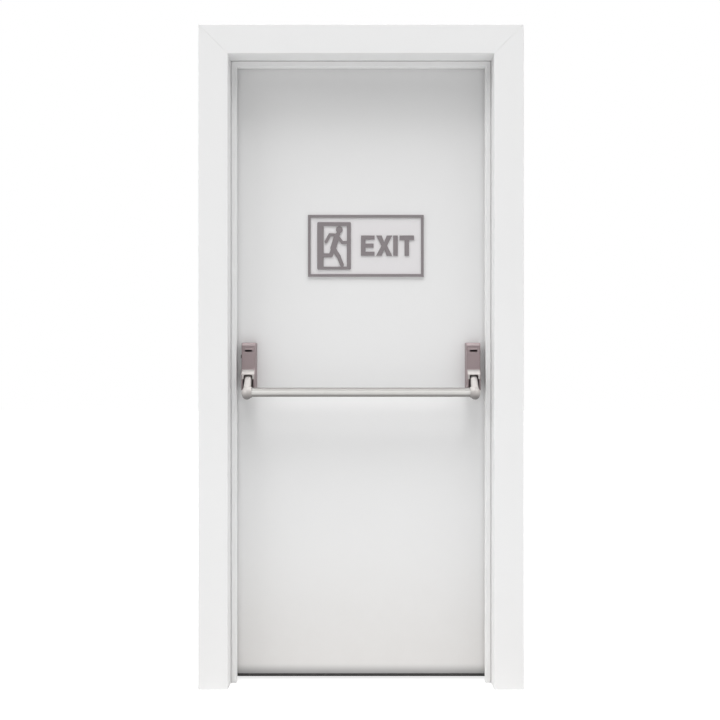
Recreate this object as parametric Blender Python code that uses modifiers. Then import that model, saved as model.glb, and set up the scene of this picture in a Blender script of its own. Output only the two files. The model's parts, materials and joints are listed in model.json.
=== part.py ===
"""A steel fire door, closed in its folded steel frame, with a panic bar and a raised sign on the push side.

Sizes are in metres, laid out from the middle of the doorway: X to the right as someone who pushes the door
sees it, Y into the wall from the casing's front face, and Z up from the floor. The whole door hangs on an
empty that puts the underside of the left floor bracket at the origin.
"""

import math

import bmesh
import bpy
from mathutils import Matrix, Vector

# Doorway and wall
CLEAR_WIDTH = 0.860
CLEAR_HEIGHT = 2.130
WALL_THICKNESS = 0.150
WALL_POCKET = 0.050

# Frame, folded from one sheet with a separate casing on the push side
FRAME_SHEET = 0.002
BEND_INSIDE = 0.001
BEND_STEPS = 3
CASING_FACE = 0.100
CASING_RETURN = 0.012
STOP_WIDTH = 0.020
STOP_THICKNESS = 0.027
SHADOW_GAP = 0.001
GAP_FLANGE = 0.020

# Leaf
LEAF_THICKNESS = 0.062
SKIN = 0.0012
HINGE_GAP = 0.007
LOCK_GAP = 0.008
HEAD_GAP = 0.007
FLOOR_GAP = 0.022
BOTTOM_SEAL_DROP = 0.012
BOTTOM_SEAL_WIDTH = 0.050
STRIP_WIDTH = 0.013
STRIP_THICKNESS = 0.0012
STRIP_INSET = 0.004

# Clearances: a running gap between frame and leaf, and the small gap left between touching solids
RUNNING_GAP = 0.005
SEAT = 0.0003

# Smoke seal on the back of the stop
SEAL_WIDTH = 0.012
SEAL_THICKNESS = 0.0047
SEAL_EDGE = 0.0012

# Floor brackets and wall ties, inside the wall
BRACKET_SHEET = 0.003
BRACKET_HEIGHT = 0.050
BRACKET_WIDTH = 0.050
BRACKET_CENTRE = 0.138
TIE_HEIGHT = 0.030
TIE_LEG = 0.035
TIE_BEND = 0.120
TIE_WALL_LEG = 0.060
TIE_FROM_FLOOR = 0.350
TIE_FROM_TOP = 0.300
TIES = 3

# Lift-off hinges on the pull side
HINGE_FROM_FLOOR = 0.250
HINGE_FROM_TOP = 0.223
HINGES = 3
HINGE_HALF = 0.060
BARREL_RADIUS = 0.009
BARREL_STAND_OFF = 0.010
BARREL_DOME = 0.003
HINGE_PIN_RADIUS = 0.005
HINGE_PIN_LENGTH = 0.046
PIN_CLEARANCE = 0.0003
PIN_TIP = 0.0016
HINGE_PLATE = 0.003
HINGE_PLATE_WIDTH = 0.038
HINGE_PLATE_GAP = 0.002
HINGE_PLATE_INSET = 0.005

# Mortice lock and its keep
LOCK_HEIGHT = 1.060
FACEPLATE_WIDTH = 0.022
FACEPLATE_LENGTH = 0.235
FACEPLATE = 0.003
LOCK_CASE_DEPTH = 0.062
LOCK_CASE_WIDTH = 0.016
LOCK_CASE_LENGTH = 0.165
LATCH_WIDTH = 0.012
LATCH_HEIGHT = 0.036
LATCH_LENGTH = 0.020
KEEP_WIDTH = 0.024
KEEP_LENGTH = 0.200
KEEP_HOLE_MARGIN = 0.002

# Sign on the leaf
SIGN_WIDTH = 0.404
SIGN_HEIGHT = 0.216
SIGN_PLATE = 0.002
SIGN_BORDER = 0.009
SIGN_RELIEF = 0.003
SIGN_X = 0.0168
SIGN_Z = 1.515

# Panic bar: a tube between two arms that turn in housings on the leaf
BAR_HEIGHT = 1.0055
TUBE_RADIUS = 0.0157
TUBE_WALL = 0.0015
SOCKET_WALL = 0.0025
SOCKET_LENGTH = 0.0175
KNUCKLE_SWELL = 0.003
KNUCKLE_OUT = 0.003
KNUCKLE_BACK = 0.003
KNUCKLE_SAG = 0.004
TUBE_END_GAP = 0.001
ARM_INSET = 0.042
ARM_DROP = 0.0725
ARM_REACH = 0.067
ARM_BOW = 0.001
ARM_THICKNESS = 0.0125
ARM_WIDTH = 0.020
ARM_FLARE = 1.36
HUB_RADIUS = 0.010
BAR_PIN_RADIUS = 0.004
PIVOT_DEPTH = 0.027

# Housing of each arm, with heights counted from the arm's pivot
BASE_PLATE = 0.0027
COVER_WALL = 0.0025
COVER_TAPER = 0.0022
COVER_ABOVE = 0.098
COVER_BELOW = 0.067
CHAMFER_DEPTH = 0.007
CHAMFER_HEIGHT = 0.010
RAMP_TOP = 0.005
RAMP_FOOT = -0.012
RAMP_DEPTH = 0.0145
HUB_CLEARANCE = 0.005
ARCH_SIDE = 0.0048
ARCH_TOP = -0.012
ARCH_BACK = 0.005
ARCH_RADIUS = 0.010
ARM_CLEARANCE = 0.005
RECESS_DEPTH = 0.001
RECESS_RIM = 0.003
SLOT_WIDTH = 0.026
SLOT_HEIGHT = 0.0065
SLOT_DROP = 0.0285

# What follows from them
REVEAL = CLEAR_WIDTH / 2 + STOP_WIDTH
OUTER = REVEAL + CASING_FACE
WALL_FACE = REVEAL + WALL_POCKET
HEAD_RISE = CLEAR_HEIGHT + STOP_WIDTH - REVEAL
FRAME_TOP = HEAD_RISE + OUTER
FRAME_BACK = WALL_THICKNESS + 2 * CASING_RETURN
LEAF_BACK = FRAME_BACK
LEAF_FRONT = LEAF_BACK - LEAF_THICKNESS
STOP_BACK = LEAF_FRONT - RUNNING_GAP - SEAL_THICKNESS - SEAT
STOP_FRONT = STOP_BACK - STOP_THICKNESS
LEAF_LEFT = -REVEAL + HINGE_GAP
LEAF_RIGHT = REVEAL - LOCK_GAP
LEAF_BOTTOM = FLOOR_GAP
LEAF_TOP = HEAD_RISE + REVEAL - HEAD_GAP
BRACKET_INNER = REVEAL + FRAME_SHEET + SEAT
BRACKET_OUTER = WALL_FACE - SEAT
HINGE_AXIS = Vector((LEAF_LEFT - HINGE_GAP / 2, LEAF_BACK + BARREL_STAND_OFF, 0))
BAR_AXIS = Vector((0, LEAF_FRONT - PIVOT_DEPTH, BAR_HEIGHT + ARM_DROP))
LOCK_CENTRE = (LEAF_FRONT + LEAF_BACK) / 2
ARM_X = CLEAR_WIDTH / 2 - ARM_INSET
COLLAR_RADIUS = TUBE_RADIUS + SEAT + SOCKET_WALL
KNUCKLE_RADIUS = COLLAR_RADIUS + KNUCKLE_SWELL
COVER_BACK = BASE_PLATE + 2 * SEAT
TOP_DEPTH = PIVOT_DEPTH + HUB_RADIUS + HUB_CLEARANCE + COVER_WALL
FOOT_DEPTH = TOP_DEPTH + RAMP_DEPTH
ARCH_HALF = ARM_WIDTH * ARM_FLARE / 2 + ARM_CLEARANCE
COVER_FRONT_HALF = ARCH_HALF + ARCH_SIDE
COVER_BASE_HALF = COVER_FRONT_HALF + COVER_TAPER

# How finely round shapes are stepped, and how close points are before they are one
ROUND_STEPS = 32
SMALL_STEPS = 24
DOME_STEPS = 5
ARCH_STEPS = 5
SOFT_STEPS = 2
BLADE_STEPS = 6
BLADE_EDGE_STEPS = 3
CIRCULAR = 0.5
SHARP_ANGLE = math.radians(40)
WELD = 0.00001
OVERSIZE = 3

SIDES = (("left", -1), ("right", 1))
UPSIDE_DOWN = (0, math.pi, 0)
LYING = (0, -math.pi / 2, 0)
ALONG_X = (0, math.pi / 2, 0)


def clear_scene():
    for obj in list(bpy.data.objects):
        bpy.data.objects.remove(obj, do_unlink=True)


def new_collection(name):
    collection = bpy.data.collections.new(name)
    bpy.context.scene.collection.children.link(collection)
    return collection


def new_material(name, colour, roughness, metallic=0.0):
    material = bpy.data.materials.new(name)
    material.use_nodes = True
    shader = material.node_tree.nodes["Principled BSDF"]
    shader.inputs["Base Color"].default_value = (*colour, 1)
    shader.inputs["Roughness"].default_value = roughness
    shader.inputs["Metallic"].default_value = metallic
    material.diffuse_color = (*colour, 1)
    return material


def new_axis(name, place, parent=None, parent_place=Vector()):
    """An empty at a place in the doorway, which other objects hang on."""
    axis = bpy.data.objects.new(name, None)
    axis.empty_display_size = 0.1
    axis.parent = parent
    axis.location = place - parent_place
    axis["place"] = place
    PARTS.objects.link(axis)
    return axis


def spread(first, last, count):
    """Evenly spaced heights, with their numbers from 1."""
    return [(number + 1, first + (last - first) * number / (count - 1)) for number in range(count)]


def add(name, data, axis, place=(0, 0, 0), turn=(0, 0, 0), material=None):
    """Links an object placed from the middle of the doorway. With no material it is a cutter."""
    obj = bpy.data.objects.new(name, data)
    obj.parent = axis
    obj.matrix_parent_inverse = Matrix.Translation(-Vector(axis["place"]))
    obj.location = place
    obj.rotation_euler = turn
    if material:
        data.materials.append(material)
        PARTS.objects.link(obj)
    else:
        obj.hide_render = True
        obj.display_type = "WIRE"
        CUTTERS.objects.link(obj)
    return obj


def to_mesh(form, name, smooth=False):
    mesh = bpy.data.meshes.new(name)
    form.to_mesh(mesh)
    form.free()
    if smooth:
        mesh.shade_smooth()
        mesh.set_sharp_from_angle(angle=SHARP_ANGLE)
    return mesh


def box(name, low, high, axis, material=None, turn=(0, 0, 0)):
    """A block between two corners, turned about its own middle."""
    low, high = Vector(low), Vector(high)
    form = bmesh.new()
    bmesh.ops.create_cube(form, size=1)
    bmesh.ops.scale(form, vec=high - low, verts=form.verts)
    return add(name, to_mesh(form, name), axis, (low + high) / 2, turn, material)


def rod(name, radius, length, axis, place, turn=ALONG_X, material=None, steps=SMALL_STEPS):
    """A solid cylinder about its middle."""
    form = bmesh.new()
    bmesh.ops.create_cone(form, cap_ends=True, segments=steps, radius1=radius, radius2=radius, depth=length)
    return add(name, to_mesh(form, name, smooth=True), axis, place, turn, material)


def turned(name, profile, axis, place, turn=(0, 0, 0), material=None, steps=SMALL_STEPS):
    """A profile of (radius, height) points spun about Z. It runs down its outer side."""
    form = bmesh.new()
    points = [form.verts.new((radius, 0, height)) for radius, height in profile]
    for pair in zip(points, points[1:]):
        form.edges.new(pair)
    obj = add(name, to_mesh(form, name), axis, place, turn, material)
    spin = obj.modifiers.new("Spin", "SCREW")
    spin.steps = spin.render_steps = steps
    spin.use_merge_vertices = True
    spin.merge_threshold = WELD
    return obj


def cut(obj, cutter):
    hole = obj.modifiers.new(f"Cut {cutter.name}", "BOOLEAN")
    hole.operation = "DIFFERENCE"
    hole.object = cutter


def join(obj, other):
    union = obj.modifiers.new(f"Join {other.name}", "BOOLEAN")
    union.operation = "UNION"
    union.object = other


def soften(obj, width, segments=SOFT_STEPS):
    bevel = obj.modifiers.new("Soften", "BEVEL")
    bevel.width = width
    bevel.segments = segments
    bevel.limit_method = "ANGLE"


def round_edges(form, edges, radius, steps):
    bmesh.ops.bevel(form, geom=edges, offset=radius, segments=steps, profile=CIRCULAR, affect="EDGES")


def open_back(form):
    """Takes away the face furthest into the wall."""
    back = max(form.faces, key=lambda face: face.calc_center_median().y)
    bmesh.ops.delete(form, geom=[back], context="FACES_ONLY")


def thicken(obj, sheet, side=-1):
    """Gives an open surface its metal, behind its faces, or in front of them where side is 1."""
    solid = obj.modifiers.new("Sheet", "SOLIDIFY")
    solid.thickness = sheet
    solid.offset = side
    solid.use_even_offset = True


def bent_path(corners, sheet):
    """The faced side of a folded sheet whose metal lies left of its path, with its corners made arcs."""
    path = [Vector(corners[0])]
    for before, corner, after in zip(corners, corners[1:], corners[2:]):
        arrive = (Vector(corner) - Vector(before)).normalized()
        leave = (Vector(after) - Vector(corner)).normalized()
        turns_left = arrive.cross(leave) > 0
        radius = BEND_INSIDE + (sheet if turns_left else 0)
        centre = Vector(corner) + radius * (leave - arrive)
        for step in range(BEND_STEPS + 1):
            angle = math.pi / 2 * step / BEND_STEPS
            path.append(centre - radius * (leave * math.cos(angle) - arrive * math.sin(angle)))
    path.append(Vector(corners[-1]))
    return path


def folded(name, corners, sheet, length, axis, place, turn, material):
    """A folded sheet: its bent path is drawn in the local XY plane and pulled along Z."""
    form = bmesh.new()
    start = [form.verts.new((*point, 0)) for point in bent_path(corners, sheet)]
    edges = [form.edges.new(pair) for pair in zip(start, start[1:])]
    pulled = bmesh.ops.extrude_edge_only(form, edges=edges)["geom"]
    end = [item for item in pulled if isinstance(item, bmesh.types.BMVert)]
    bmesh.ops.translate(form, vec=(0, 0, length), verts=end)
    obj = add(name, to_mesh(form, name), axis, place, turn, material)
    thicken(obj, sheet, side=1)
    return obj


def mitre_cutters():
    """Blocks on the 45 degree joints at the frame's top corners. Each leaves half the seat gap."""
    cutters = {}
    middle = REVEAL + CASING_FACE / 2
    size = OVERSIZE * Vector((CASING_FACE, FRAME_BACK, CASING_FACE))
    for name, side in SIDES:
        slope = Vector((-side, 0, 1)).normalized()
        corner = Vector((side * middle, 0, HEAD_RISE + middle))
        for kind, way in (("jamb", 1), ("head", -1)):
            place = corner + way * (size.z - SEAT) / 2 * slope
            turn = (0, -side * math.pi / 4, 0)
            block = box(f"mitre_{kind}_{name}", place - size / 2, place + size / 2, DOOR, turn=turn)
            cutters[kind, name] = block
    return cutters


def frame_run(kind, corners, material, mitres):
    """Two uprights and a head of one folded section. Its corners run outwards and into the wall."""
    for name, side in SIDES:
        upright = folded(
            f"{kind}_{name}",
            corners,
            FRAME_SHEET,
            FRAME_TOP,
            DOOR,
            (0, 0, 0 if side > 0 else FRAME_TOP),
            (0, 0, 0) if side > 0 else UPSIDE_DOWN,
            material,
        )
        cut(upright, mitres["jamb", name])
    head_name = "casing_head" if kind == "casing" else "head_rail"
    head = folded(head_name, corners, FRAME_SHEET, 2 * OUTER, DOOR, (OUTER, 0, HEAD_RISE), LYING, material)
    for name, _ in SIDES:
        cut(head, mitres["head", name])


def make_frame():
    mitres = mitre_cutters()
    leg_end = STOP_BACK - FRAME_SHEET - SEAT
    casing = ((REVEAL, leg_end), (REVEAL, 0), (OUTER, 0), (OUTER, CASING_RETURN))
    frame_run("casing", casing, CASING_PAINT, mitres)
    stop_face = REVEAL - STOP_WIDTH
    gap_side = REVEAL - SHADOW_GAP
    section = (
        (OUTER, FRAME_BACK - CASING_RETURN),
        (OUTER, FRAME_BACK),
        (REVEAL, FRAME_BACK),
        (REVEAL, STOP_BACK),
        (stop_face, STOP_BACK),
        (stop_face, STOP_FRONT),
        (gap_side, STOP_FRONT),
        (gap_side, STOP_FRONT + GAP_FLANGE),
    )
    frame_run("jamb", section, CASING_PAINT, mitres)


def make_smoke_seals():
    near = REVEAL - (STOP_WIDTH + SEAL_WIDTH) / 2
    far = near + SEAL_WIDTH
    front = STOP_BACK + SEAT
    back = front + SEAL_THICKNESS
    head_low = HEAD_RISE + near
    seals = [
        box(
            f"smoke_seal_{name}",
            (min(side * near, side * far), front, 0),
            (max(side * near, side * far), back, head_low - SEAT),
            DOOR,
            PALE_RUBBER,
        )
        for name, side in SIDES
    ]
    head_high = head_low + SEAL_WIDTH
    seals.append(box("smoke_seal_head", (-far, front, head_low), (far, back, head_high), DOOR, PALE_RUBBER))
    for seal in seals:
        soften(seal, SEAL_EDGE)


def make_keep():
    """The strike plate, let flush into the right upright, with its latch hole."""
    jamb = bpy.data.objects["jamb_right"]
    half = Vector((0, KEEP_WIDTH / 2, KEEP_LENGTH / 2))
    middle = Vector((REVEAL, LOCK_CENTRE, LOCK_HEIGHT))
    loose = Vector((0, SEAT, SEAT))
    through = Vector((FRAME_SHEET, 0, 0))
    slot = box("keep_slot", middle - half - loose - through, middle + half + loose + 2 * through, DOOR)
    cut(jamb, slot)
    plate = box("strike_plate", middle - half, middle + half + through, DOOR, BARE_STEEL)
    hole = Vector((0, LATCH_WIDTH / 2 + KEEP_HOLE_MARGIN, LATCH_HEIGHT / 2 + KEEP_HOLE_MARGIN))
    cut(plate, box("keep_hole", middle - hole - through, middle + hole + 2 * through, DOOR))


def make_fixings():
    """Floor brackets and wall ties, which hold the frame inside the wall."""
    foot = ((BRACKET_INNER, BRACKET_HEIGHT), (BRACKET_INNER, 0), (BRACKET_OUTER, 0))
    tie = (
        (BRACKET_INNER, TIE_BEND + TIE_LEG),
        (BRACKET_INNER, TIE_BEND),
        (WALL_FACE - FRAME_SHEET, TIE_BEND),
        (WALL_FACE - FRAME_SHEET, TIE_WALL_LEG),
    )
    for name, side in SIDES:
        folded(
            f"foot_bracket_{name}",
            foot,
            BRACKET_SHEET,
            BRACKET_WIDTH,
            DOOR,
            (0, BRACKET_CENTRE + side * BRACKET_WIDTH / 2, 0),
            (math.pi / 2, 0, 0 if side > 0 else math.pi),
            GALVANISED,
        )
        for number, height in spread(TIE_FROM_FLOOR, FRAME_TOP - TIE_FROM_TOP, TIES):
            folded(
                f"wall_tie_{name}_{number}",
                tie,
                FRAME_SHEET,
                TIE_HEIGHT,
                DOOR,
                (0, 0, height - side * TIE_HEIGHT / 2),
                (0, 0, 0) if side > 0 else UPSIDE_DOWN,
                GALVANISED,
            )


def dome(radius, height, rise):
    """A quarter of an ellipse from the rim of a round end down or up to its axis."""
    angles = [math.pi / 2 * step / DOME_STEPS for step in range(DOME_STEPS)]
    rim = [(radius * math.cos(angle), height + rise * math.sin(angle)) for angle in angles]
    return rim + [(0, height + rise)]


def make_hinges():
    """Three lift-off hinges: a lower half with its pin on the frame and an upper half on the leaf."""
    body = HINGE_HALF - BARREL_DOME
    bore = HINGE_PIN_RADIUS + PIN_CLEARANCE
    lower = [(0, HINGE_PIN_LENGTH), (HINGE_PIN_RADIUS - PIN_TIP, HINGE_PIN_LENGTH)]
    lower += [(HINGE_PIN_RADIUS, HINGE_PIN_LENGTH - PIN_TIP), (HINGE_PIN_RADIUS, -SEAT)]
    lower += [(BARREL_RADIUS, -SEAT)] + dome(BARREL_RADIUS, -body, -BARREL_DOME)
    upper = dome(BARREL_RADIUS, body, BARREL_DOME)[::-1]
    upper += [(BARREL_RADIUS, 0), (bore, 0), (bore, HINGE_PIN_LENGTH + SEAT), (0, HINGE_PIN_LENGTH + SEAT)]
    plate_front = LEAF_BACK + SEAT
    plate_back = plate_front + HINGE_PLATE
    for number, height in spread(HINGE_FROM_FLOOR, LEAF_TOP - HINGE_FROM_TOP, HINGES):
        place = HINGE_AXIS + Vector((0, 0, height))
        frame_half = turned(f"hinge_frame_half_{number}", lower, DOOR, place, material=HINGE_METAL)
        leaf_half = turned(f"hinge_leaf_half_{number}", upper, LEAF_AXIS, place, material=HINGE_METAL)
        frame_end = HINGE_AXIS.x - HINGE_PLATE_GAP
        frame_plate = box(
            f"hinge_frame_plate_{number}",
            (frame_end - HINGE_PLATE_WIDTH, plate_front, height - HINGE_HALF + HINGE_PLATE_INSET),
            (frame_end, plate_back, height - HINGE_PLATE_INSET),
            DOOR,
        )
        leaf_end = HINGE_AXIS.x + HINGE_PLATE_GAP
        leaf_plate = box(
            f"hinge_leaf_plate_{number}",
            (leaf_end, plate_front, height + HINGE_PLATE_INSET),
            (leaf_end + HINGE_PLATE_WIDTH, plate_back, height + HINGE_HALF - HINGE_PLATE_INSET),
            LEAF_AXIS,
        )
        join(frame_half, frame_plate)
        join(leaf_half, leaf_plate)


def make_skins():
    """A folded tray faces the push side, and a flat sheet closes it on the pull side."""
    gap = SKIN + SEAT
    form = bmesh.new()
    bmesh.ops.create_cube(form, size=1)
    tray_back = LEAF_BACK - gap
    low = Vector((LEAF_LEFT, LEAF_FRONT, LEAF_BOTTOM))
    high = Vector((LEAF_RIGHT, tray_back, LEAF_TOP))
    bmesh.ops.scale(form, vec=high - low, verts=form.verts)
    open_back(form)
    folds = [edge for edge in form.edges if not edge.is_boundary]
    round_edges(form, folds, SKIN + BEND_INSIDE, BEND_STEPS)
    tray_mesh = to_mesh(form, "leaf_push_skin")
    tray = add("leaf_push_skin", tray_mesh, LEAF_AXIS, (low + high) / 2, material=LEAF_PAINT)
    thicken(tray, SKIN)
    box(
        "leaf_pull_skin",
        (LEAF_LEFT, LEAF_BACK - SKIN, LEAF_BOTTOM),
        (LEAF_RIGHT, LEAF_BACK, LEAF_TOP),
        LEAF_AXIS,
        LEAF_PAINT,
    )
    core = box(
        "leaf_core",
        (LEAF_LEFT + gap, LEAF_FRONT + gap, LEAF_BOTTOM + gap),
        (LEAF_RIGHT - gap, tray_back, LEAF_TOP - gap),
        LEAF_AXIS,
        MINERAL_WOOL,
    )
    soften(core, BEND_INSIDE + SEAT)
    return tray, core


def make_edge_strips():
    """Strips that swell in a fire, along both long edges and the top of the leaf, and the seal under it."""
    back = LEAF_BACK - STRIP_INSET
    front = back - STRIP_WIDTH
    reach = SEAT + STRIP_THICKNESS
    box(
        "fire_strip_hinge",
        (LEAF_LEFT - reach, front, LEAF_BOTTOM + STRIP_INSET),
        (LEAF_LEFT - SEAT, back, LEAF_TOP),
        LEAF_AXIS,
        DARK_STRIP,
    )
    box(
        "fire_strip_lock",
        (LEAF_RIGHT + SEAT, front, LEAF_BOTTOM + STRIP_INSET),
        (LEAF_RIGHT + reach, back, LEAF_TOP),
        LEAF_AXIS,
        DARK_STRIP,
    )
    box(
        "fire_strip_top",
        (LEAF_LEFT + STRIP_INSET, front, LEAF_TOP + SEAT),
        (LEAF_RIGHT - STRIP_INSET, back, LEAF_TOP + reach),
        LEAF_AXIS,
        DARK_STRIP,
    )
    seal = box(
        "bottom_seal",
        (LEAF_LEFT + STRIP_INSET, LOCK_CENTRE - BOTTOM_SEAL_WIDTH / 2, LEAF_BOTTOM - BOTTOM_SEAL_DROP),
        (LEAF_RIGHT - STRIP_INSET, LOCK_CENTRE + BOTTOM_SEAL_WIDTH / 2, LEAF_BOTTOM - SEAT),
        LEAF_AXIS,
        RUBBER,
    )
    soften(seal, SEAL_EDGE)


def make_lock(tray, core):
    """The lock is let into the leaf's edge, its latch drawn back flush with the faceplate."""
    face = Vector((LEAF_RIGHT, LOCK_CENTRE, LOCK_HEIGHT))
    loose = Vector((SEAT, SEAT, SEAT))
    plate_half = Vector((0, FACEPLATE_WIDTH / 2, FACEPLATE_LENGTH / 2))
    case_half = Vector((0, LOCK_CASE_WIDTH / 2, LOCK_CASE_LENGTH / 2))
    latch_half = Vector((0, LATCH_WIDTH / 2, LATCH_HEIGHT / 2))
    plate_depth = Vector((FACEPLATE, 0, 0))
    case_depth = Vector((LOCK_CASE_DEPTH, 0, 0))
    latch_depth = Vector((LATCH_LENGTH, 0, 0))
    plate_low = face - plate_half - plate_depth
    case_low = face - case_half - case_depth
    latch_low = face - latch_half - latch_depth
    past_face = plate_depth + loose
    lock = box("mortice_lock", plate_low, face + plate_half, LEAF_AXIS, BARE_STEEL)
    join(lock, box("lock_case", case_low, face + case_half - plate_depth / 2, LEAF_AXIS))
    cut(lock, box("latch_way", latch_low - loose, face + latch_half + past_face, LEAF_AXIS))
    box("latch_bolt", latch_low, face + latch_half, LEAF_AXIS, BARE_STEEL)
    plate_way = box("faceplate_way", plate_low - loose, face + plate_half + past_face, LEAF_AXIS)
    case_way = box("lock_case_way", case_low - loose, face + case_half + loose, LEAF_AXIS)
    cut(tray, plate_way)
    cut(core, plate_way)
    cut(core, case_way)


def make_sign():
    """A plate on the leaf with a raised border."""
    half = Vector((SIGN_WIDTH / 2, 0, SIGN_HEIGHT / 2))
    centre = Vector((SIGN_X, LEAF_FRONT - SEAT, SIGN_Z))
    plate_depth = Vector((0, SIGN_PLATE, 0))
    box("sign_plate", centre - half - plate_depth, centre + half, LEAF_AXIS, SIGN_WHITE)
    front = centre - plate_depth - Vector((0, SEAT, 0))
    relief = Vector((0, SIGN_RELIEF, 0))
    border = box("sign_border", front - half - relief, front + half, LEAF_AXIS, SIGN_GREY)
    inside = half - Vector((SIGN_BORDER, 0, SIGN_BORDER))
    cut(border, box("sign_window", front - inside - 2 * relief, front + inside + relief, LEAF_AXIS))


def cover_half_width(depth):
    """Half the width of a housing at a distance from the leaf: it narrows towards the front."""
    share = (depth - COVER_BACK) / (FOOT_DEPTH - COVER_BACK)
    return COVER_BASE_HALF - COVER_TAPER * share


def make_cover(name, x):
    """A cover open at the back: a flat top, a recessed face, a ramp and a deeper foot with an archway."""
    outline = (
        (COVER_BACK, COVER_ABOVE),
        (TOP_DEPTH - CHAMFER_DEPTH, COVER_ABOVE),
        (TOP_DEPTH, COVER_ABOVE - CHAMFER_HEIGHT),
        (TOP_DEPTH, RAMP_TOP),
        (FOOT_DEPTH, RAMP_FOOT),
        (FOOT_DEPTH, -COVER_BELOW),
        (COVER_BACK, -COVER_BELOW),
    )
    form = bmesh.new()
    ring = [form.verts.new((-cover_half_width(depth), -depth, height)) for depth, height in outline]
    form.faces.new(ring)
    pulled = bmesh.ops.extrude_face_region(form, geom=form.faces[:])["geom"]
    for vert in pulled:
        if isinstance(vert, bmesh.types.BMVert):
            vert.co.x = cover_half_width(-vert.co.y)
    bmesh.ops.recalc_face_normals(form, faces=form.faces[:])
    open_back(form)
    cover_mesh = to_mesh(form, f"panic_cover_{name}")
    place = (x, LEAF_FRONT, BAR_AXIS.z)
    cover = add(f"panic_cover_{name}", cover_mesh, LEAF_AXIS, place, material=GREY_PAINT)
    soften(cover, COVER_WALL + BEND_INSIDE)
    thicken(cover, COVER_WALL)
    return cover


def cut_cover(cover, name, x):
    """The archway that the arm moves in, the recess of the face and the slot in it."""
    front = LEAF_FRONT - FOOT_DEPTH - 2 * COVER_WALL
    low = (x - ARCH_HALF, front, BAR_AXIS.z - COVER_BELOW - 2 * COVER_WALL)
    high = (x + ARCH_HALF, BAR_AXIS.y - ARCH_BACK, BAR_AXIS.z + ARCH_TOP)
    arch = box(f"archway_{name}", low, high, LEAF_AXIS)
    form = bmesh.new()
    form.from_mesh(arch.data)
    into_wall = [edge for edge in form.edges if edge.verts[0].co.y != edge.verts[1].co.y]
    crown = [edge for edge in into_wall if edge.verts[0].co.z > 0]
    round_edges(form, crown, ARCH_RADIUS, ARCH_STEPS)
    form.to_mesh(arch.data)
    form.free()
    face = LEAF_FRONT - TOP_DEPTH
    rim = cover_half_width(TOP_DEPTH) - RECESS_RIM
    recess = box(
        f"face_recess_{name}",
        (x - rim, face - RECESS_DEPTH, BAR_AXIS.z + RAMP_TOP + RECESS_RIM),
        (x + rim, face + RECESS_DEPTH, BAR_AXIS.z + COVER_ABOVE - CHAMFER_HEIGHT - RECESS_RIM),
        LEAF_AXIS,
    )
    slot_z = BAR_AXIS.z + COVER_ABOVE - SLOT_DROP
    slot = box(
        f"face_slot_{name}",
        (x - SLOT_WIDTH / 2, face - COVER_WALL, slot_z - SLOT_HEIGHT / 2),
        (x + SLOT_WIDTH / 2, face + 2 * COVER_WALL, slot_z + SLOT_HEIGHT / 2),
        LEAF_AXIS,
    )
    for cutter in (arch, recess, slot):
        cut(cover, cutter)


def make_housings():
    for name, side in SIDES:
        x = side * ARM_X
        low_z, high_z = BAR_AXIS.z - COVER_BELOW, BAR_AXIS.z + COVER_ABOVE
        box(
            f"panic_base_{name}",
            (x - COVER_BASE_HALF, LEAF_FRONT - SEAT - BASE_PLATE, low_z),
            (x + COVER_BASE_HALF, LEAF_FRONT - SEAT, high_z),
            LEAF_AXIS,
            GREY_PAINT,
        )
        cut_cover(make_cover(name, x), name, x)
        length = 2 * (cover_half_width(PIVOT_DEPTH) - COVER_WALL - SEAT)
        place = (x, BAR_AXIS.y, BAR_AXIS.z)
        rod(f"pivot_pin_{name}", BAR_PIN_RADIUS, length, LEAF_AXIS, place, material=BARE_STEEL)


def arm_sweep(name, x):
    """The arm's bowed blade, from its hub in the housing down and out to the elbow."""
    curve = bpy.data.curves.new(name, "CURVE")
    curve.dimensions = "3D"
    curve.twist_mode = "Z_UP"
    curve.bevel_depth = ARM_THICKNESS / 2
    curve.bevel_resolution = BLADE_EDGE_STEPS
    curve.extrude = (ARM_WIDTH - ARM_THICKNESS) / 2
    curve.resolution_u = BLADE_STEPS
    curve.use_fill_caps = True
    hub, elbow = Vector((0, 0)), Vector((-ARM_REACH, -ARM_DROP))
    outward = Vector((-ARM_DROP, ARM_REACH)).normalized()
    middle = (hub + elbow) / 2 + ARM_BOW * outward
    spline = curve.splines.new("BEZIER")
    spline.bezier_points.add(2)
    for share, place, point in zip((0, 0.5, 1), (hub, middle, elbow), spline.bezier_points):
        point.co = (*place, 0)
        point.handle_left_type = point.handle_right_type = "AUTO"
        point.radius = 1 + share * (ARM_FLARE - 1)
    turn = (math.pi / 2, 0, math.pi / 2)
    drawn = add(f"{name}_curve", curve, BAR, (x, BAR_AXIS.y, BAR_AXIS.z), turn)
    bpy.context.view_layer.update()
    mesh = bpy.data.meshes.new_from_object(drawn.evaluated_get(bpy.context.evaluated_depsgraph_get()))
    form = bmesh.new()
    form.from_mesh(mesh)
    bmesh.ops.remove_doubles(form, verts=form.verts, dist=WELD)
    bmesh.ops.recalc_face_normals(form, faces=form.faces[:])
    form.to_mesh(mesh)
    form.free()
    place = drawn.matrix_world.copy()
    bpy.data.objects.remove(drawn)
    arm = add(name, mesh, BAR, material=ARM_PAINT)
    arm.matrix_world = place
    return arm


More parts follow.
